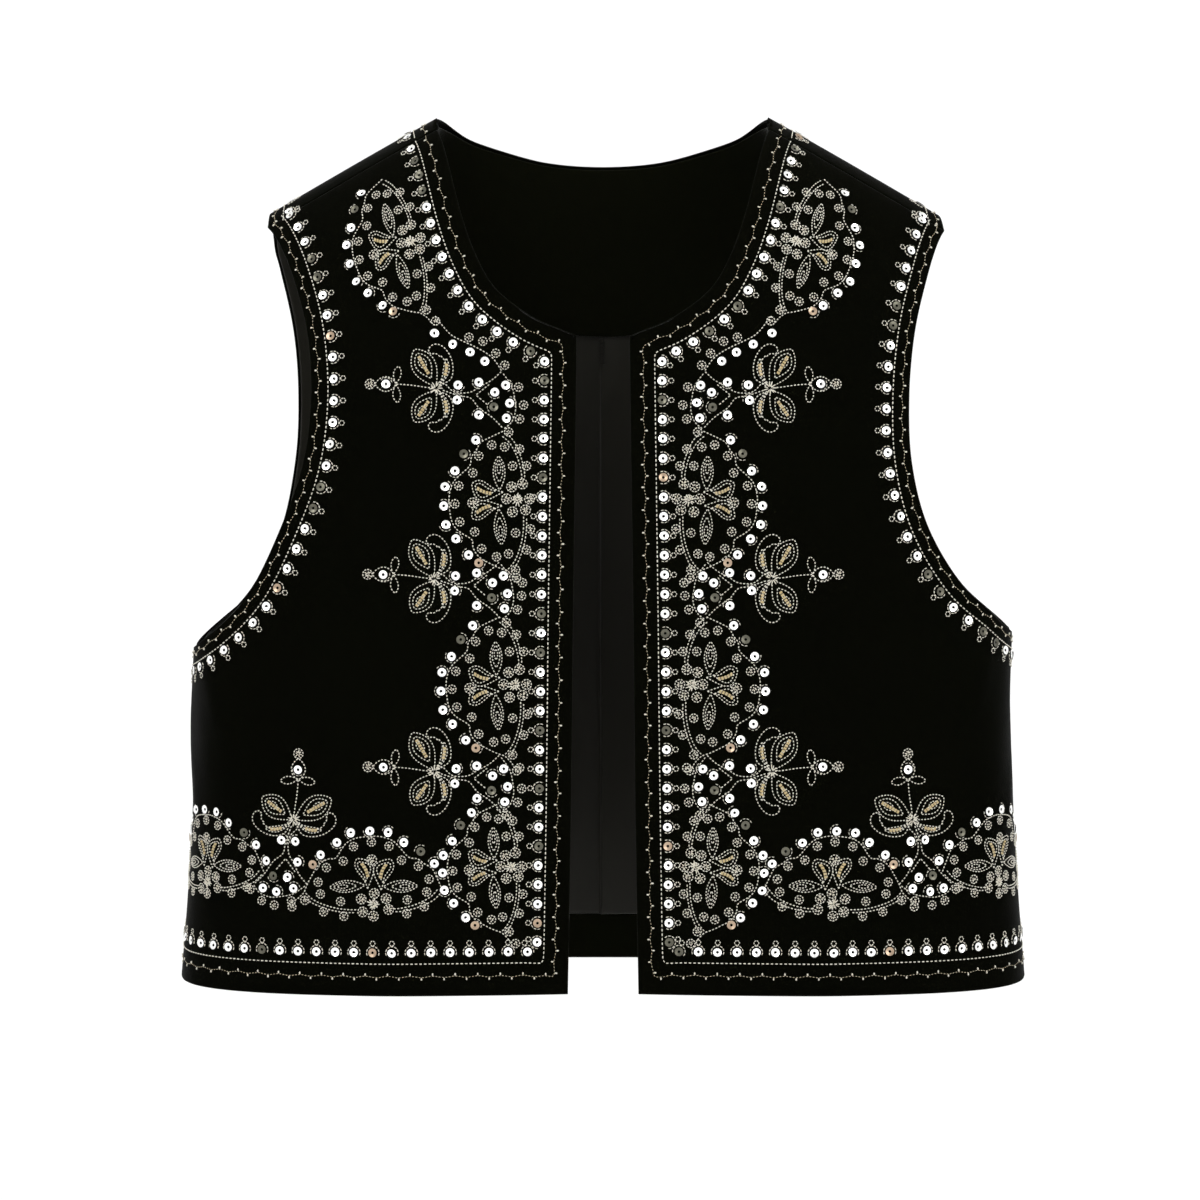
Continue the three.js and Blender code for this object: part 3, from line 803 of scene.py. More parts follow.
class WaistcoatEmbroidery(bpy.types.PropertyGroup):
    """Sizes and colours of the stitches and sequins"""

    stitch_radius: FloatProperty(
        name="Stitch radius", description="Half the width of a stitch", default=0.0003, unit="LENGTH"
    )
    stitch_pitch: FloatProperty(
        name="Stitch pitch", description="From one stitch to the next", default=0.0018, unit="LENGTH"
    )
    sequin_radius: FloatProperty(
        name="Sequin radius", description="Half the width of a sequin", default=0.00225, unit="LENGTH"
    )
    sequin_pitch: FloatProperty(
        name="Sequin pitch", description="From one border sequin to the next", default=0.0098, unit="LENGTH"
    )
    ivory: FloatVectorProperty(
        name="Ivory thread",
        description="Colour of the outlines",
        subtype="COLOR",
        default=(0.55, 0.53, 0.46),
    )
    gold: FloatVectorProperty(
        name="Gold thread",
        description="Colour of the fillings",
        subtype="COLOR",
        default=(0.4, 0.3, 0.13),
    )


class WaistcoatStage(bpy.types.PropertyGroup):
    """Floor, lights and lens of the studio"""

    floor_height: FloatProperty(
        name="Floor", description="Height of the floor", default=-1.05, unit="LENGTH"
    )
    backdrop_colour: FloatVectorProperty(
        name="Backdrop",
        description="Colour of the floor and cove",
        subtype="COLOR",
        default=(0.9, 0.9, 0.9),
    )
    key_power: FloatProperty(
        name="Key light", description="Power of the key light", default=40, unit="POWER"
    )
    fill_power: FloatProperty(
        name="Fill light", description="Power of the fill light", default=30, unit="POWER"
    )
    lens: FloatProperty(name="Lens", description="Focal length in millimetres", default=126.9)


def even(count, extra=()):
    """Even shares from 0 to 1 with a few more among them."""
    return np.unique(np.concatenate([np.linspace(0, 1, count + 1), extra]))


class WAISTCOAT_OT_fronts(bpy.types.Operator):
    """Make both velvet fronts, from the opening to the side seams"""

    bl_idname = "waistcoat.fronts"
    bl_label = "Velvet fronts"

    def execute(self, context):
        thickness = context.scene.waistcoat_cloth.velvet_thickness * 1000
        for hand in ("left", "right"):
            bottom, top, start, end = front_edges(hand)[:4]
            place = patch(bottom, top, start, end, *map(even, FRONT_GRID))
            if hand == "right":
                place = mirrored(place)
            points, faces = cloth_wall(place, front_lift(place, on_figure(place)), thickness)
            name = "velvet_front_" + hand
            piece = make_piece(name, points, faces, finish("black_velvet"))
            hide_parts("front_" + hand)
        return {"FINISHED"}


class WAISTCOAT_OT_back(bpy.types.Operator):
    """Make the velvet back, from side seam to side seam"""

    bl_idname = "waistcoat.back"
    bl_label = "Velvet back"

    def execute(self, context):
        thickness = context.scene.waistcoat_cloth.velvet_thickness * 1000
        bottom, top, start, end = back_edges(0, 0, 0)[:4]
        place = patch(bottom, top, start, end, *map(even, BACK_GRID), SIDE_FALL)
        points, faces = cloth_wall(place, back_lift(place, on_figure(place)), thickness)
        piece = make_piece("velvet_back", points, faces, finish("black_velvet"))
        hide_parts("back")
        return {"FINISHED"}


class WAISTCOAT_OT_inside(bpy.types.Operator):
    """Make the satin lining with its pleat, and the velvet facings of the neck and the hem"""

    bl_idname = "waistcoat.inside"
    bl_label = "Lining and facings"

    def execute(self, context):
        cloth = context.scene.waistcoat_cloth
        velvet = cloth.velvet_thickness * 1000
        facing = cloth.facing_thickness * 1000
        lining = cloth.lining_thickness * 1000
        lift = cloth.pleat_lift * 1000
        above = FACING_SET_BACK + HEM_FACING_HEIGHT + SEAM_GAP
        bottom, top, start, end = back_edges(above, LINING_SET_BACK, LINING_NECK_SET_BACK)[:4]
        near = 0.5 + PLEAT_X / LINING_ROUND + PLEAT_COLUMNS
        columns, rows = BACK_GRID
        place = patch(bottom, top, start, end, even(columns, near), even(rows), SIDE_FALL)
        point = on_figure(place)
        under = back_lift(place, point) - velvet - LAYER_GAP
        crease = fold_height(LINING_FOLDS, place[..., 0], point[..., 2])
        level = under - pleat(point[..., 0], point[..., 2], lift) - crease
        points, faces = cloth_wall(place, level, lining)
        piece = make_piece("satin_back_lining", points, faces, finish("lining_satin"))
        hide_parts("back_lining")

        self.tack(velvet + LAYER_GAP + lift + lining)

        place = self.neck_places(*map(even, NECK_FACING_GRID))
        under = back_lift(place, on_figure(place)) - velvet - lining - 2 * LAYER_GAP
        points, faces = cloth_wall(place, under, facing)
        piece = make_piece("velvet_neck_facing", points, faces, finish("facing_velvet"))
        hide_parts("back_neck_facing")

        columns, rows = HEM_FACING_GRID
        round_ = np.linspace(-1, 1, columns + 1) * (AT_SIDE_SEAM - LINING_SET_BACK)
        heights = [FACING_SET_BACK + v * HEM_FACING_HEIGHT for v in even(rows)]
        place = np.stack([hem_line("back", above, 0, 1)(round_) for above in heights])
        under = back_lift(place, on_figure(place)) - velvet - LAYER_GAP
        points, faces = cloth_wall(place, under, facing)
        piece = make_piece("velvet_hem_facing", points, faces, finish("facing_velvet"))
        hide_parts("back_hem_facing")
        return {"FINISHED"}

    def tack(self, depth):
        """The bar tack at the top of the pleat: upright stitches crossed by short level ones."""
        rise = np.linspace(*TACK_HEIGHTS, TACK_BARS)
        left, right = TACK_BAR_ENDS
        start = [(x, z) for x in TACK_UPRIGHTS for z in rise[:-1]] + [(left, z) for z in rise]
        end = [(x, z) for x in TACK_UPRIGHTS for z in rise[1:]] + [(right, z) for z in rise]
        ends = []
        for rows in (start, end):
            place = to_place("back", *np.array(rows).T)
            point, out = on_figure(place), outwards(place)
            ends.append(point + out * (back_lift(place, point) - depth)[..., None])
        points, faces = stitch_shapes(*ends, -out, np.full(len(out), TACK_RADIUS))
        make_piece("stitches_pleat_tack", points, faces, finish("lining_thread"))

    def neck_places(self, us, vs):
        """Places of the half-moon facing: straight lines from its deep curve to the neckline."""
        under_seam = SEAM_BELOW_RIDGE - 1
        rise = ridge(NECK_FACING_HALF_WIDTH) - NECK_FACING_FOOT_Z
        z = NECK_FACING_FOOT_Z + rise * NECK_FACING_SHARES**NECK_FACING_CURVE
        curve = to_place("back", NECK_FACING_HALF_WIDTH * NECK_FACING_SHARES, z)
        lower = edge_to_middle(np.vstack([seam_place(NECK_FACING_HALF_WIDTH, under_seam), curve]))
        rows = to_place("back", *np.array(back_neck_rows(FACING_SET_BACK)).T)
        upper = edge_to_middle(np.vstack([seam_place(NECK_SEAM_X + FACING_SET_BACK, under_seam), rows]))

        def both(half):
            place = half(2 * np.minimum(us, 1 - us))
            return np.where((us < 0.5)[:, None], mirrored(place), place)[None]

        low, high = both(lower), both(upper)
        return low + (high - low) * vs[:, None, None]


# Where the motifs of one front stand: distance from the centre line, height, turn in degrees and scale
OPENING_PALMETTES = [(84, -114.5, 0, 1), (85, -210, 0, 1), (85, -307, 0, 1)]
OPENING_MEDALLIONS = [(43, -170.5, 0, 1), (44.5, -263.5, 0, 1), (46.5, -355.5, 0, 0.93)]
SHOULDER_MEDALLION = (97.5, -40.5, -15, (0.88, 1.02))
HEM_PALMETTES = [(156.5, -332.5, 90, 1)]
HEM_MEDALLIONS = [(114, -374.5, 90, 1), (206, -367, 90, 1)]
BACK_PALMETTES = [(0, -336, 90, 1), (91, -336, 90, 1), (182, -333, 90, 1)]
BACK_MEDALLIONS = [(45.5, -376, 90, 1), (136.5, -375, 90, 1), (226, -368, 90, 1)]
BACK_SHOULDER_MEDALLION = (112, -38, -15, (0.88, 1.02))
# The run of stitches from the shoulder medallion down to the first palmette
UPPER_STEM = [(85, -78), (77.5, -87), (71.5, -90.5), (65, -93.5), (59.5, -96.5), (55, -100), (51, -106)]
UPPER_SEQUINS = [(85, -87), (75.5, -92.5), (67, -96.5), (59.5, -101)]
UPPER_SWIRLS = [(67.5, -89), (60.5, -91), (54, -97), (49.5, -103)]

SEQUIN_FINISHES = {"silver": "silver_sequin", "copper": "gold_sequin", "dark": "dark_sequin"}

# Border rows: distance in from the cut edge along the opening and neck, the hem, and the armholes
PICOT_ROW = (6.8, 10, 4.2)
STITCH_ROW = (12.5, 16.6, 9.4)
SEQUIN_ROW = (16, 22.4, 12.8)
BY_OPENING, BY_HEM, BY_ARMHOLE = 0, 1, 2
# Length round the corner over which the rows change from the hem's distances to the opening's
CORNER_BLEND = 24
# Picot: how far it waves, from one knot to the next, stops between knots, and where a knot starts and ends
PICOT_WAVE = 0.4
PICOT_KNOT_PITCH = 5.7
PICOT_STOPS = 4
PICOT_KNOT = (0.5, 1.9)
# Border sequins: pitch at the armholes over the pitch elsewhere, and the least distance from a sequin's
# middle to the side seam
ARMHOLE_SPREAD = 1.14
SEQUIN_ROOM = 2.6
# Shares of silver, dark and copper sequins along the hem and along the other edges
HEM_TONE_SHARES = [0.53, 0.36, 0.11]
EDGE_TONE_SHARES = [0.84, 0.12, 0.04]
# Small loop beyond each border sequin: how far away, its radius and its stitches
LOOP_AWAY = 4.7
LOOP_RADIUS = 1.3
LOOP_STITCHES = 6
# Half ring of stitches round a border sequin: its radius, where its stitches start and how far each turns
ARC_RADIUS = 3.25
ARC_STARTS = np.linspace(-2.1, 2.1, 8)[:-1] + 0.05
ARC_TURN = 0.48
# Swirled dot: radius and stitches of its ring and of the curl inside
SWIRL_RING = (2.15, 9)
SWIRL_CURL = (1.35, 5)
# Stitches that hold a motif's sequin: their radius, number, width and how far round they go
HOLD_RADIUS, HOLD_STITCHES, HOLD_WIDTH, HOLD_SWEEP = 3.3, 4, 0.62, 2.4
# Burst of threads at a motif's heart: its radius and stitches
HEART = (3.6, 11)
# Rings up to this radius are filled with a burst of threads
FILLED_RING = 2.7
# A stitch: where its belly starts and ends along it, and how high it arches over its radius
BELLY = (0.2, 0.8)
ARCH = 0.9
STITCH_SIDES = 5
STITCH_POINTS = 2 * STITCH_SIDES + 2
# A sequin's profile as shares of its radius outwards and as millimetres up, its steps round, how far it is
# tipped at random, and how high it lies on its stitches
SEQUIN_REACH = np.array([0.32, 1.0, 1.0, 0.32])
SEQUIN_RISE = np.array([0.3, 0.62, 0.5, 0.16])
SEQUIN_SIDES = 12
SEQUIN_TIP = 0.09
SEQUIN_LIFT = 0.25
# A direction that no sequin faces, from which its first spoke is found
AWAY_FROM_SEQUINS = [0.3, 0.2, 0.93]
# Seeds of the random draws, and a place well inside each panel's borders
SEEDS = {"left": 11, "right": 12, "back": 21}
INSIDE_FRONT = np.array([110.0, -300.0])
INSIDE_BACK = np.array([1.0, 330.0])
# Tack on the lining's pleat: heights of its top and foot, its level bars, where they start and end, where
# its uprights stand, and half the width of a stitch
TACK_HEIGHTS = (-89.5, -102)
TACK_BARS = 8
TACK_BAR_ENDS = (-2.4, 1.2)
TACK_UPRIGHTS = (-1.4, 0.2)
TACK_RADIUS = 0.3


def walk(place, heading, distance):
    """Places reached from others by going a distance over the figure: short steps, each along the part
    of the heading that lies in the tangent plane."""
    place = place.copy()
    count = max(1, int(np.ceil(np.max(np.abs(distance)) / 2)))
    share = np.asarray(distance, dtype=float) / count
    for _ in range(count):
        across, over = tangents(place)
        aa = np.einsum("ij,ij->i", across, across)
        ab = np.einsum("ij,ij->i", across, over)
        bb = np.einsum("ij,ij->i", over, over)
        ha = np.einsum("ij,ij->i", heading, across)
        hb = np.einsum("ij,ij->i", heading, over)
        spread = np.maximum(aa * bb - ab * ab, 1e-9)
        shift = np.stack([(bb * ha - ab * hb) / spread, (aa * hb - ab * ha) / spread], -1)
        size = np.sqrt(np.maximum(shift[:, 0] * ha + shift[:, 1] * hb, 1e-9))
        place += shift * (share / size)[:, None]
        place[:, 0] = np.clip(place[:, 0], -QUARTER_GIRTH, QUARTER_GIRTH)
    return place


def set_in(outline, distance, inside):
    """Line that runs inside an edge at a distance: points that come nearer to any part of the edge than
    that are dropped, which trims the loops at corners."""
    point = on_figure(outline)
    heading = np.cross(outwards(outline), unit(np.gradient(point, axis=0)))
    towards = on_figure(np.array(inside, dtype=float)) - point
    if np.sum(heading * towards) < 0:
        heading = -heading
    moved = walk(outline, heading, distance)
    gap = np.linalg.norm(on_figure(moved)[:, None] - point[None], axis=2)
    return moved[(gap >= 0.97 * distance[None]).all(axis=1)]


def stations(place, pitch, closed_ends=True):
    """Places at even steps along a line of places, measured on the figure."""
    gone = np.linalg.norm(np.diff(on_figure(place), axis=0), axis=1)
    length = np.concatenate([[0], np.cumsum(gone)])
    count = max(1, int(round(length[-1] / pitch)))
    at = np.linspace(0, length[-1], count + 1)
    if not closed_ends:
        at = (at[:-1] + at[1:]) / 2
    return np.stack([np.interp(at, length, place[:, k]) for k in (0, 1)], -1)


def stitch_shapes(start, end, normal, radius):
    """Spindles from start to end: two five-sided rings between two tips, arched off the cloth."""
    along = unit(end - start)
    side = unit(np.cross(normal, along))
    up = np.cross(along, side)
    here = np.arange(STITCH_SIDES)
    angle = 2 * np.pi * here / STITCH_SIDES
    ring = side[:, None] * np.cos(angle)[None, :, None] + up[:, None] * np.sin(angle)[None, :, None]
    ring = ring * radius[:, None, None]
    lift = (up * radius[:, None] * ARCH)[:, None]
    low, high = ((start + (end - start) * share)[:, None] + ring + lift for share in BELLY)
    points = np.concatenate([start[:, None], low, high, end[:, None]], axis=1)
    after = (here + 1) % STITCH_SIDES
    first, second = 1, 1 + STITCH_SIDES
    tip = np.stack([np.zeros(STITCH_SIDES, int), first + after, first + here], -1)
    belly = [
        np.stack([first + here, first + after, second + after], -1),
        np.stack([first + here, second + after, second + here], -1),
    ]
    tail = np.stack([np.full(STITCH_SIDES, STITCH_POINTS - 1), second + here, second + after], -1)
    faces = np.concatenate([tip, *belly, tail])
    offset = STITCH_POINTS * np.arange(len(start))[:, None, None]
    return points.reshape(-1, 3), (faces[None] + offset).reshape(-1, 3)


def sequin_shapes(centre, normal, radius, random):
    """Cupped rings: a four-cornered profile, low at the hole and high at the rim, turned in 12 steps
    and tipped a few degrees at random."""
    tip = unit(normal + SEQUIN_TIP * random.standard_normal(centre.shape))
    side = unit(np.cross(tip, AWAY_FROM_SEQUINS))
    up = np.cross(tip, side)
    angle = 2 * np.pi * np.arange(SEQUIN_SIDES) / SEQUIN_SIDES
    reach = SEQUIN_REACH * radius
    rise = SEQUIN_RISE + SEQUIN_LIFT
    spoke = side[:, None] * np.cos(angle)[None, :, None] + up[:, None] * np.sin(angle)[None, :, None]
    points = spoke[:, :, None] * reach[:, None] + (tip[:, None, None] * rise[:, None])
    points = centre[:, None, None] + points
    corners = len(reach)
    here = np.arange(SEQUIN_SIDES)[:, None]
    after = (here + 1) % SEQUIN_SIDES
    row = np.arange(corners)[None]
    below = (row + 1) % corners
    low, high = here * corners, after * corners
    faces = np.stack([low + row, low + below, high + below, high + row], -1).reshape(-1, 4)
    offset = SEQUIN_SIDES * corners * np.arange(len(centre))[:, None, None]
    return points.reshape(-1, 3), (faces[None] + offset).reshape(-1, 4)


class Needlework:
    """Stitches and sequins gathered for one panel of velvet."""

    def __init__(self, side, hand, lift, seed):
        self.side = side
        self.sign = 1 if hand == "left" else -1
        self.lift = lift
        self.random = np.random.default_rng(seed)
        stitch = bpy.context.scene.waistcoat_embroidery
        self.radius = stitch.stitch_radius * 1000
        self.pitch = stitch.stitch_pitch * 1000
        self.stitches = []
        self.sequins = {"silver": [], "copper": [], "dark": []}

    def surface(self, place):
        """Points of the velvet's outer face at places, and the directions out of it."""
        point, out = on_figure(place), outwards(place)
        return point + out * self.lift(place, point)[..., None], out

    def sew(self, start, end, normal, tint, width=1.0):
        """Take down stitches between two lists of points."""
        count = len(start)
        tints = np.clip(tint + self.random.uniform(-0.06, 0.16, count), 0, 1)
        radii = self.radius * width * self.random.uniform(0.88, 1.14, count)
        self.stitches.append((start, end, normal, tints, radii))

    def run(self, place, tint=0.0, width=1.0, pitch=None, share=0.64):
        """Back stitches along a line of places: each fills a share of an even step. The part of a line
        that would pass the side seam is left to the other panel."""
        place = place[np.abs(place[:, 0]) < QUARTER_GIRTH - 1]
        if len(place) < 2:
            return
        stops = stations(place, pitch or self.pitch)
        point, out = self.surface(stops)
        low, high = point[:-1], point[1:]
        gap = (high - low) * (1 - share) / 2
        self.sew(low + gap, high - gap, unit(out[:-1] + out[1:]), tint, width)

    def ring(self, place, radius, count, tint=0.0, width=1.0, start=0.0, sweep=2 * np.pi):
        """Stitches round an arc in the tangent plane about each of a list of places."""
        place = self.on_panel(place, radius)
        if not len(place):
            return
        centre, out = self.surface(place)
        side = unit(tangents(place)[0])
        up = np.cross(out, side)
        angle = start + sweep * np.arange(count) / count
        gap = 0.13 * sweep / count
        ends = []
        for turn in (angle + gap, angle + sweep / count - gap):
            spoke = side[:, None] * np.cos(turn)[:, None] + up[:, None] * np.sin(turn)[:, None]
            ends.append((centre[:, None] + radius * spoke).reshape(-1, 3))
        self.sew(*ends, np.repeat(out, count, axis=0), tint, width)

    def swirl(self, place):
        """A ring of stitches with a small curl inside, at each place."""
        self.ring(place, *SWIRL_RING)
        self.burst(place, *SWIRL_CURL, tint=0.1)

    def burst(self, place, radius, count, tint=0.0):
        """Uneven stitches that run out from the middle of each place, as where many threads meet."""
        place = self.on_panel(place, radius)
        if not len(place):
            return
        centre, out = self.surface(place)
        side = unit(tangents(place)[0])
        up = np.cross(out, side)
        shape = (len(centre), count)
        angle = 2 * np.pi * (np.arange(count) + self.random.uniform(-0.3, 0.3, shape)) / count
        low = radius * self.random.uniform(0.05, 0.35, shape)
        high = radius * self.random.uniform(0.75, 1.1, shape)
        spoke = side[:, None] * np.cos(angle)[..., None] + up[:, None] * np.sin(angle)[..., None]
        first = (centre[:, None] + spoke * low[..., None]).reshape(-1, 3)
        last = (centre[:, None] + spoke * high[..., None]).reshape(-1, 3)
        self.sew(first, last, np.repeat(out, count, axis=0), tint, 0.9)

    def on_panel(self, place, room):
        """The places that keep a distance from the side seam."""
        place = np.atleast_2d(place)
        return place[np.abs(place[:, 0]) < QUARTER_GIRTH - room]

    def sequin(self, place, tone="silver"):
        """Keep a sequin for each place."""
        self.sequins[tone].append(self.on_panel(place, SEQUIN_ROOM))

    def chart(self, stand, unrolled):
        """Function from a motif's own millimetres to places: turned and scaled about where it stands,
        as seen straight from the front, or on the unrolled cloth where it lies near a side seam."""
        x, z, turn, scale = stand
        c, s = math.cos(math.radians(turn)), math.sin(math.radians(turn))

        def spread(points):
            local = -np.atleast_2d(np.asarray(points, dtype=float)) * scale
            out = local[:, 0] * c - local[:, 1] * s
            up = local[:, 0] * s + local[:, 1] * c
            if unrolled:
                place = to_place(self.side, column(HALF_WIDTH, z + up) * share_at(x + out), z + up)
                place[..., 0] = x + out
            else:
                place = to_place(self.side, x + out, z + up)
            return place * [self.sign, 1]

        return spread

    def leaf(self, spread, row):
        """Nested outlines of a leaf: width goes with the sine of pi times a power of the way along."""
        base_a, base_b, tip_a, tip_b, width, belly, bend, nested, filled = row
        base, tip = np.array([base_a, base_b], float), np.array([tip_a, tip_b], float)
        length = np.linalg.norm(tip - base)
        along = (tip - base) / length
        across = np.array([-along[1], along[0]])
        t = np.linspace(0, 1, 25)
        profile = np.sin(np.pi * t**belly) ** 0.75 * width / 2
        spine = np.sin(np.pi * t) * bend
        for k in range(nested):
            size = 1 - 0.34 * k
            way = 0.5 * (1 - size) + 0.06 * k + size * t
            half = profile * size
            for side in (1, -1):
                path = base + along * (way * length)[:, None] + across * (spine + side * half)[:, None]
                self.run(spread(path), width=0.92, pitch=1.65)
        if filled:
            for side in (-0.5, 0, 0.5):
                way = np.linspace(0.34, 0.82, 8)
                core = base + along * (way * length)[:, None]
                core = core + across * (np.interp(way, t, spine) + side)[:, None]
                self.run(spread(core), tint=0.85, width=1.15, pitch=1.6, share=0.95)

    def motif(self, stand, lines, leaves, swirls, sequins, rings, unrolled=False):
        """Work one motif where it stands."""
        spread = self.chart(stand, unrolled)
        for line in lines:
            path = edge(line)(np.linspace(0, 1, 40))
            self.run(spread(path), width=0.95)
        for row in leaves:
            self.leaf(spread, row)
        self.swirl(spread(swirls))
        for a, b, tone in sequins:
            place = spread((a, b))
            self.sequin(place, tone)
            turned = self.random.uniform(0, 6)
            self.ring(place, HOLD_RADIUS, HOLD_STITCHES, 0, HOLD_WIDTH, turned, HOLD_SWEEP)
        for a, b, radius in rings:
            place = spread((a, b))
            self.ring(place, radius, max(6, int(radius * 4)), width=0.95)
            if radius < FILLED_RING:
                self.burst(place, radius * 0.8, 7, tint=0.15)
        self.burst(spread((0, 0)), *HEART, tint=0.1)

    def palmette(self, stand, unrolled=False):
        """Work one palmette where it stands."""
        shapes = (PALMETTE_LINES, PALMETTE_LEAVES, PALMETTE_SWIRLS, PALMETTE_SEQUINS, PALMETTE_RINGS)
        self.motif(stand, *shapes, unrolled)

    def medallion(self, stand, unrolled=False):
        """Work one medallion where it stands."""
        shapes = (MEDALLION_LINES, MEDALLION_LEAVES, MEDALLION_SWIRLS, MEDALLION_SEQUINS, MEDALLION_RINGS)
        self.motif(stand, *shapes, unrolled)

    def border(self, outline, at_hem, inside, row_of=BY_OPENING):
        """The four rows along an edge: knotted picot, which waves as a sine of the way along, back
        stitches, sequins and small loops. at_hem is 1 where the edge is the hem and 0 elsewhere."""
        depth = lambda row: row[row_of] + (row[BY_HEM] - row[row_of]) * at_hem
        picot = stations(set_in(outline, depth(PICOT_ROW), inside), PICOT_KNOT_PITCH / PICOT_STOPS)
        heading = unit(np.cross(outwards(picot), unit(np.gradient(on_figure(picot), axis=0))))
        phase = np.arange(len(picot)) * np.pi / PICOT_STOPS
        wavy = walk(picot, heading, PICOT_WAVE * np.sin(phase))
        self.run(wavy, tint=0.5, width=0.45, pitch=1.7, share=0.6)
        crest = np.arange(PICOT_STOPS // 2, len(picot), PICOT_STOPS)
        side = np.where(np.arange(len(crest)) % 2 == 0, 1.0, -1.0)
        knot_start, knot_end = PICOT_KNOT
        near = self.surface(walk(picot[crest], heading[crest], knot_start * side))[0]
        far, out = self.surface(walk(picot[crest], heading[crest], knot_end * side))
        self.sew(near, far, out, 0.06, 1.3)
        self.run(set_in(outline, depth(STITCH_ROW), inside), width=0.95, pitch=2.3, share=0.66)
        pitch = bpy.context.scene.waistcoat_embroidery.sequin_pitch * 1000
        pitch *= ARMHOLE_SPREAD if row_of == BY_ARMHOLE else 1
        row = stations(set_in(outline, depth(SEQUIN_ROW), inside), pitch, closed_ends=False)
        row = self.on_panel(row, SEQUIN_ROOM)
        heading = np.cross(outwards(row), unit(np.gradient(on_figure(row), axis=0)))
        towards = on_figure(np.array(inside, dtype=float)) - on_figure(row)
        if np.sum(heading * towards) < 0:
            heading = -heading
        loops = walk(row, heading, np.full(len(row), LOOP_AWAY))
        self.ring(loops, LOOP_RADIUS, LOOP_STITCHES, width=0.85)
        self.arcs(row, heading)
        shares = HEM_TONE_SHARES if np.mean(at_hem) > 0.9 else EDGE_TONE_SHARES
        tones = self.random.choice(["silver", "dark", "copper"], len(row), p=shares)
        for place, tone in zip(row, tones):
            self.sequin(place, str(tone))

    def arcs(self, row, heading):
        """Half rings of stitches round the inner side of border sequins."""
        centre, out = self.surface(row)
        side = unit(heading - np.sum(heading * out, axis=1, keepdims=True) * out)
        up = np.cross(out, side)
        ends = []
        for angle in (ARC_STARTS, ARC_STARTS + ARC_TURN):
            spoke = side[:, None] * np.cos(angle)[:, None] + up[:, None] * np.sin(angle)[:, None]
            ends.append((centre[:, None] + ARC_RADIUS * spoke).reshape(-1, 3))
        self.sew(*ends, np.repeat(out, len(ARC_STARTS), axis=0), 0.05, 0.75)

    def finish(self, name):
        """Turn what was gathered into one piece of thread and one piece for each tone of sequin."""
        start, end, normal = (np.concatenate([row[k] for row in self.stitches]) for k in range(3))
        tints, radii = (np.concatenate([row[k] for row in self.stitches]) for k in (3, 4))
        points, faces = stitch_shapes(start, end, normal, radii)
        tint = np.repeat(tints, STITCH_POINTS)
        thread = finish("embroidery_thread")
        pieces = [make_piece("stitches_" + name, points, faces, thread, tint)]
        radius = bpy.context.scene.waistcoat_embroidery.sequin_radius * 1000
        for tone, places in self.sequins.items():
            centre, out = self.surface(np.concatenate(places))
            points, faces = sequin_shapes(centre, out, radius, self.random)
            title = "sequins_" + tone + "_" + name
            piece = make_piece(title, points, faces, finish(SEQUIN_FINISHES[tone]))
            piece.data.shade_flat()
            pieces.append(piece)
        return pieces


def front_border_edge(hand):
    """Edge of a front from the side seam along the hem, up the opening and round the neck, and how far
    each point counts as hem."""
    bottom, _, _, _, opening, neckline, armhole = front_edges(hand)
    hem = bottom(np.linspace(1, 0, 130))
    outline = np.vstack([hem, opening(even(180))[1:], neckline(even(90))[1:]])
    gone = np.linalg.norm(np.diff(on_figure(outline), axis=0), axis=1)
    length = np.concatenate([[0], np.cumsum(gone)])
    past = (length - length[len(hem) - 1]) / CORNER_BLEND
    share = np.clip(0.5 - past / 2, 0, 1)
    return outline, share * share * (3 - 2 * share), armhole(even(150))


class WAISTCOAT_OT_front_embroidery(bpy.types.Operator):
    """Sew borders, palmettes, medallions and sequins on both fronts"""

    bl_idname = "waistcoat.front_embroidery"
    bl_label = "Embroidery on the fronts"

    def execute(self, context):
        for hand in ("left", "right"):
            work = Needlework("front", hand, front_lift, SEEDS[hand])
            outline, at_hem, armhole = front_border_edge(hand)
            turn = [work.sign, 1]
            inside = INSIDE_FRONT * turn
            work.border(outline * turn, at_hem, inside)
            work.border(armhole * turn, np.zeros(len(armhole)), inside, BY_ARMHOLE)
            for stand in OPENING_PALMETTES:
                work.palmette(stand)
            for stand in OPENING_MEDALLIONS:
                work.medallion(stand)
            work.medallion(SHOULDER_MEDALLION)
            for stand in HEM_PALMETTES:
                work.palmette(stand, unrolled=True)
            for stand in HEM_MEDALLIONS:
                work.medallion(stand, unrolled=True)
            flat = lambda rows: to_place("front", *np.array(rows, dtype=float).T) * turn
            work.run(flat(edge(UPPER_STEM)(even(40))))
            work.swirl(flat(UPPER_SWIRLS))
            work.sequin(flat(UPPER_SEQUINS))
            work.finish("front_" + hand)
        return {"FINISHED"}


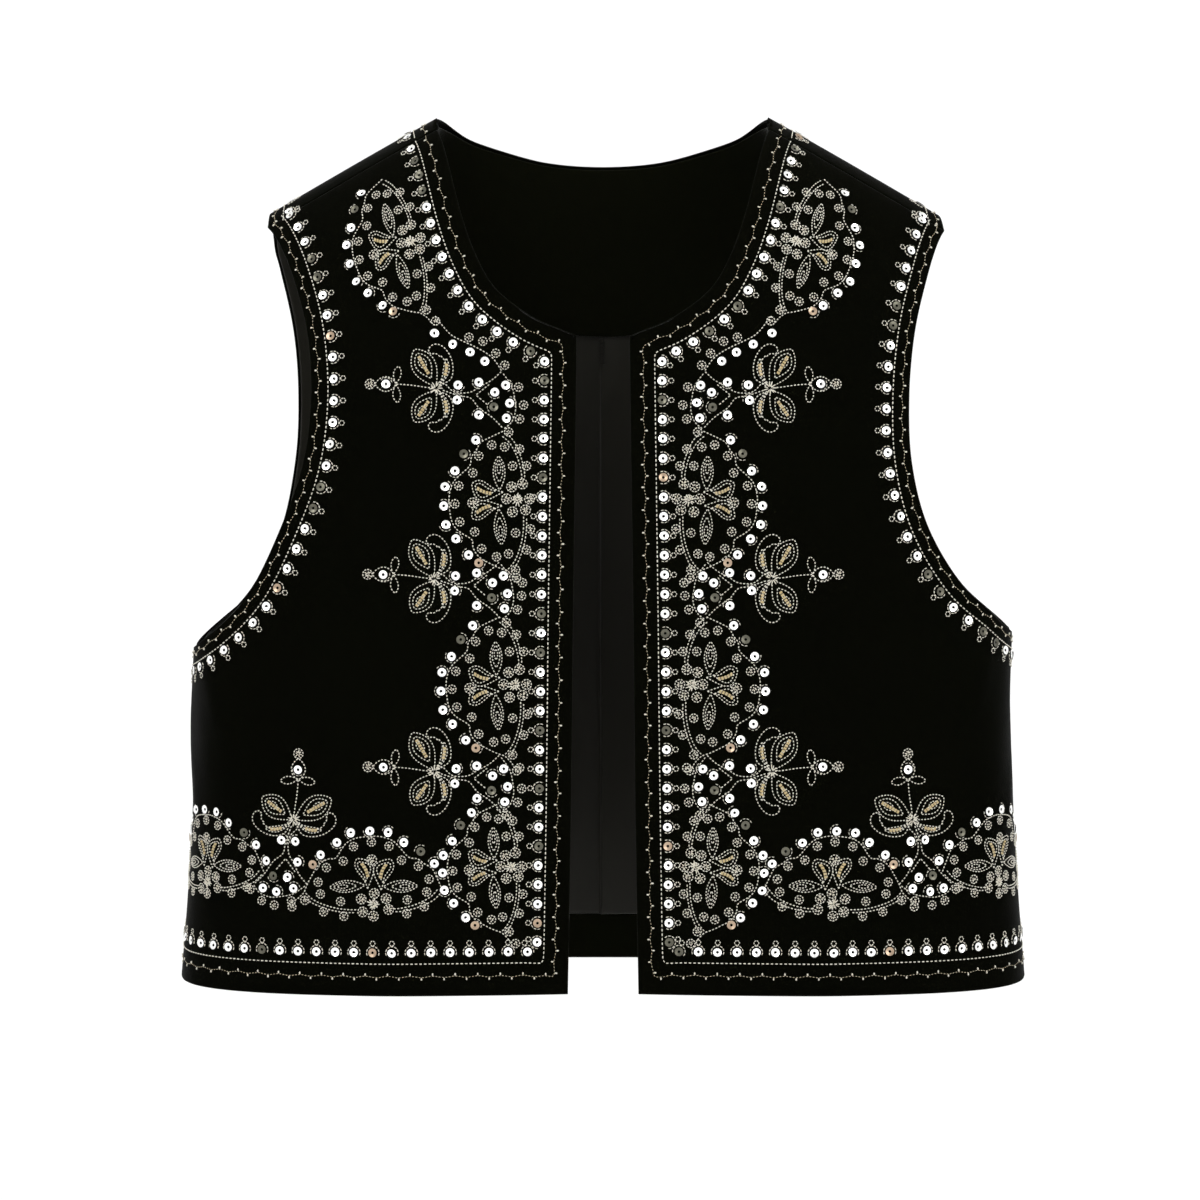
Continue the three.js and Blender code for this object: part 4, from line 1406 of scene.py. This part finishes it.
class WAISTCOAT_OT_back_embroidery(bpy.types.Operator):
    """Sew borders, the hem's row of palmettes and medallions, and the shoulder medallions on the back"""

    bl_idname = "waistcoat.back_embroidery"
    bl_label = "Embroidery on the back"

    def execute(self, context):
        bottom, _, _, _, neck, holes = back_edges(0, 0, 0)
        whole = Needlework("back", "left", back_lift, SEEDS["back"])
        hem = bottom(even(260))
        whole.border(hem, np.ones(len(hem)), INSIDE_BACK)
        half = neck(even(110))
        line = np.vstack([half, mirrored(half)[-2::-1]])
        whole.border(line, np.zeros(len(line)), INSIDE_BACK)
        for hand in ("left", "right"):
            sign = 1 if hand == "left" else -1
            armhole = holes[hand](even(150)) * [sign, 1]
            whole.border(armhole, np.zeros(len(armhole)), INSIDE_BACK, BY_ARMHOLE)
        for hand in ("left", "right"):
            whole.sign = 1 if hand == "left" else -1
            for stand in BACK_PALMETTES[0 if hand == "left" else 1 :]:
                whole.palmette(stand, unrolled=True)
            for stand in BACK_MEDALLIONS:
                whole.medallion(stand, unrolled=True)
            whole.medallion(BACK_SHOULDER_MEDALLION)
        whole.finish("back")
        return {"FINISHED"}


# Soft lights, in metres: name, where it stands, its size and which power it has
LIGHTS = [
    ("key_light", (-1.5, -2.3, 1.5), (1.6, 1.6), "key_power"),
    ("fill_light", (1.9, -2.1, 0.7), (1.6, 2.0), "fill_power"),
    ("top_light", (0.0, -0.2, 1.9), (1.8, 1.4), "fill_power"),
]
LIT_POINT = (0, 0, -0.2)
AIR_STRENGTH = 1.1
# The camera and what it looks at, in metres
CAMERA_PLACE = (-0.0016, -2.2, -0.0974)
CAMERA_TARGET = (-0.0016, 0, -0.2253)
# Floor and wall, in metres: radius of the curve between them, how far off the wall is and how high
COVE_RADIUS = 2.0
COVE_FAR = 4.5
COVE_HIGH = 6.5


class WAISTCOAT_OT_stage(bpy.types.Operator):
    """Make the pale floor with its cove, the soft lights and the camera"""

    bl_idname = "waistcoat.stage"
    bl_label = "Floor, lights and camera"

    def execute(self, context):
        stage = context.scene.waistcoat_stage
        self.cove(stage)
        for name, place, size, power in LIGHTS:
            data = bpy.data.lights.new(name, "AREA")
            data.shape = "RECTANGLE"
            data.size, data.size_y = size
            data.energy = getattr(stage, power)
            lamp = bpy.data.objects.new(name, data)
            lamp.location = place
            lamp.rotation_euler = self.facing(place, LIT_POINT)
            context.scene.collection.objects.link(lamp)
        world = bpy.data.worlds.new("studio_air")
        world.use_nodes = True
        world.node_tree.nodes["Background"].inputs["Color"].default_value = (1, 1, 1, 1)
        world.node_tree.nodes["Background"].inputs["Strength"].default_value = AIR_STRENGTH
        context.scene.world = world
        context.scene.view_settings.view_transform = "Standard"
        data = bpy.data.cameras.new("camera")
        data.sensor_width = 36
        data.lens = stage.lens
        camera = bpy.data.objects.new("camera", data)
        camera.location = CAMERA_PLACE
        camera.rotation_euler = self.facing(camera.location, CAMERA_TARGET)
        context.scene.collection.objects.link(camera)
        context.scene.camera = camera
        return {"FINISHED"}

    def facing(self, place, target):
        """Turn of a lamp or camera at a place so that it looks at a target."""
        away = [t - p for t, p in zip(target, place)]
        level = math.hypot(away[0], away[1])
        return (math.pi / 2 + math.atan2(away[2], level), 0, math.atan2(-away[0], away[1]))

    def cove(self, stage):
        """Floor and wall in one sheet: a level profile, a quarter circle and an upright, swept round."""
        low = stage.floor_height
        turn = np.linspace(0, np.pi / 2, 25)
        curve_far = COVE_FAR - COVE_RADIUS + COVE_RADIUS * np.sin(turn)
        curve_high = low + COVE_RADIUS - COVE_RADIUS * np.cos(turn)
        far = np.concatenate([[0.0], curve_far, [COVE_FAR]])
        high = np.concatenate([[low], curve_high, [low + COVE_HIGH]])
        around = np.linspace(0, 2 * np.pi, 97)[:-1]
        x = np.cos(around)[:, None] * far
        y = np.sin(around)[:, None] * far
        points = np.stack([x, y, np.broadcast_to(high, x.shape)], -1).reshape(-1, 3)
        tall = len(far)
        number = np.arange(len(points)).reshape(-1, tall)
        after = np.roll(number, -1, axis=0)
        cells = np.stack([number[:, :-1], number[:, 1:], after[:, 1:], after[:, :-1]], -1)[:, 1:]
        faces = cells.reshape(-1, 4)
        mesh = bpy.data.meshes.new("studio_cove")
        tips = [[0, int(here), int(there)] for here, there in zip(number[:, 1], after[:, 1])]
        mesh.from_pydata(points.tolist(), [], faces.tolist() + tips)
        mesh.shade_smooth()
        mesh.update()
        floor = bpy.data.objects.new("studio_cove", mesh)
        material = bpy.data.materials.new("studio_paper")
        material.use_nodes = True
        shader = material.node_tree.nodes["Principled BSDF"]
        shader.inputs["Base Color"].default_value = (*stage.backdrop_colour, 1)
        shader.inputs["Roughness"].default_value = 0.9
        mesh.materials.append(material)
        bpy.context.scene.collection.objects.link(floor)


class WAISTCOAT_PT_panel(bpy.types.Panel):
    """Sizes and colours of the waistcoat, and a button for each group of pieces"""

    bl_label = "Waistcoat"
    bl_space_type = "VIEW_3D"
    bl_region_type = "UI"
    bl_category = "Waistcoat"

    def draw(self, context):
        scene = context.scene
        for group in (scene.waistcoat_cloth, scene.waistcoat_embroidery, scene.waistcoat_stage):
            for name in group.__annotations__:
                self.layout.prop(group, name)
        for operator in OPERATORS:
            self.layout.operator(operator.bl_idname)


OPERATORS = (
    WAISTCOAT_OT_fronts,
    WAISTCOAT_OT_back,
    WAISTCOAT_OT_inside,
    WAISTCOAT_OT_front_embroidery,
    WAISTCOAT_OT_back_embroidery,
    WAISTCOAT_OT_stage,
)
GROUPS = {
    "waistcoat_cloth": WaistcoatCloth,
    "waistcoat_embroidery": WaistcoatEmbroidery,
    "waistcoat_stage": WaistcoatStage,
}


def register():
    """Make the groups of sizes, the operators and the panel known, and hang the groups on the scene."""
    for kind in (*GROUPS.values(), *OPERATORS, WAISTCOAT_PT_panel):
        bpy.utils.register_class(kind)
    for name, kind in GROUPS.items():
        setattr(bpy.types.Scene, name, PointerProperty(type=kind))


def unregister():
    """Undo what register does, the last first."""
    for name in GROUPS:
        delattr(bpy.types.Scene, name)
    for kind in reversed((*GROUPS.values(), *OPERATORS, WAISTCOAT_PT_panel)):
        bpy.utils.unregister_class(kind)


def main():
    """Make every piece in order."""
    register()
    for operator in OPERATORS:
        family, name = operator.bl_idname.split(".")
        getattr(getattr(bpy.ops, family), name)()


if __name__ == "__main__":
    main()
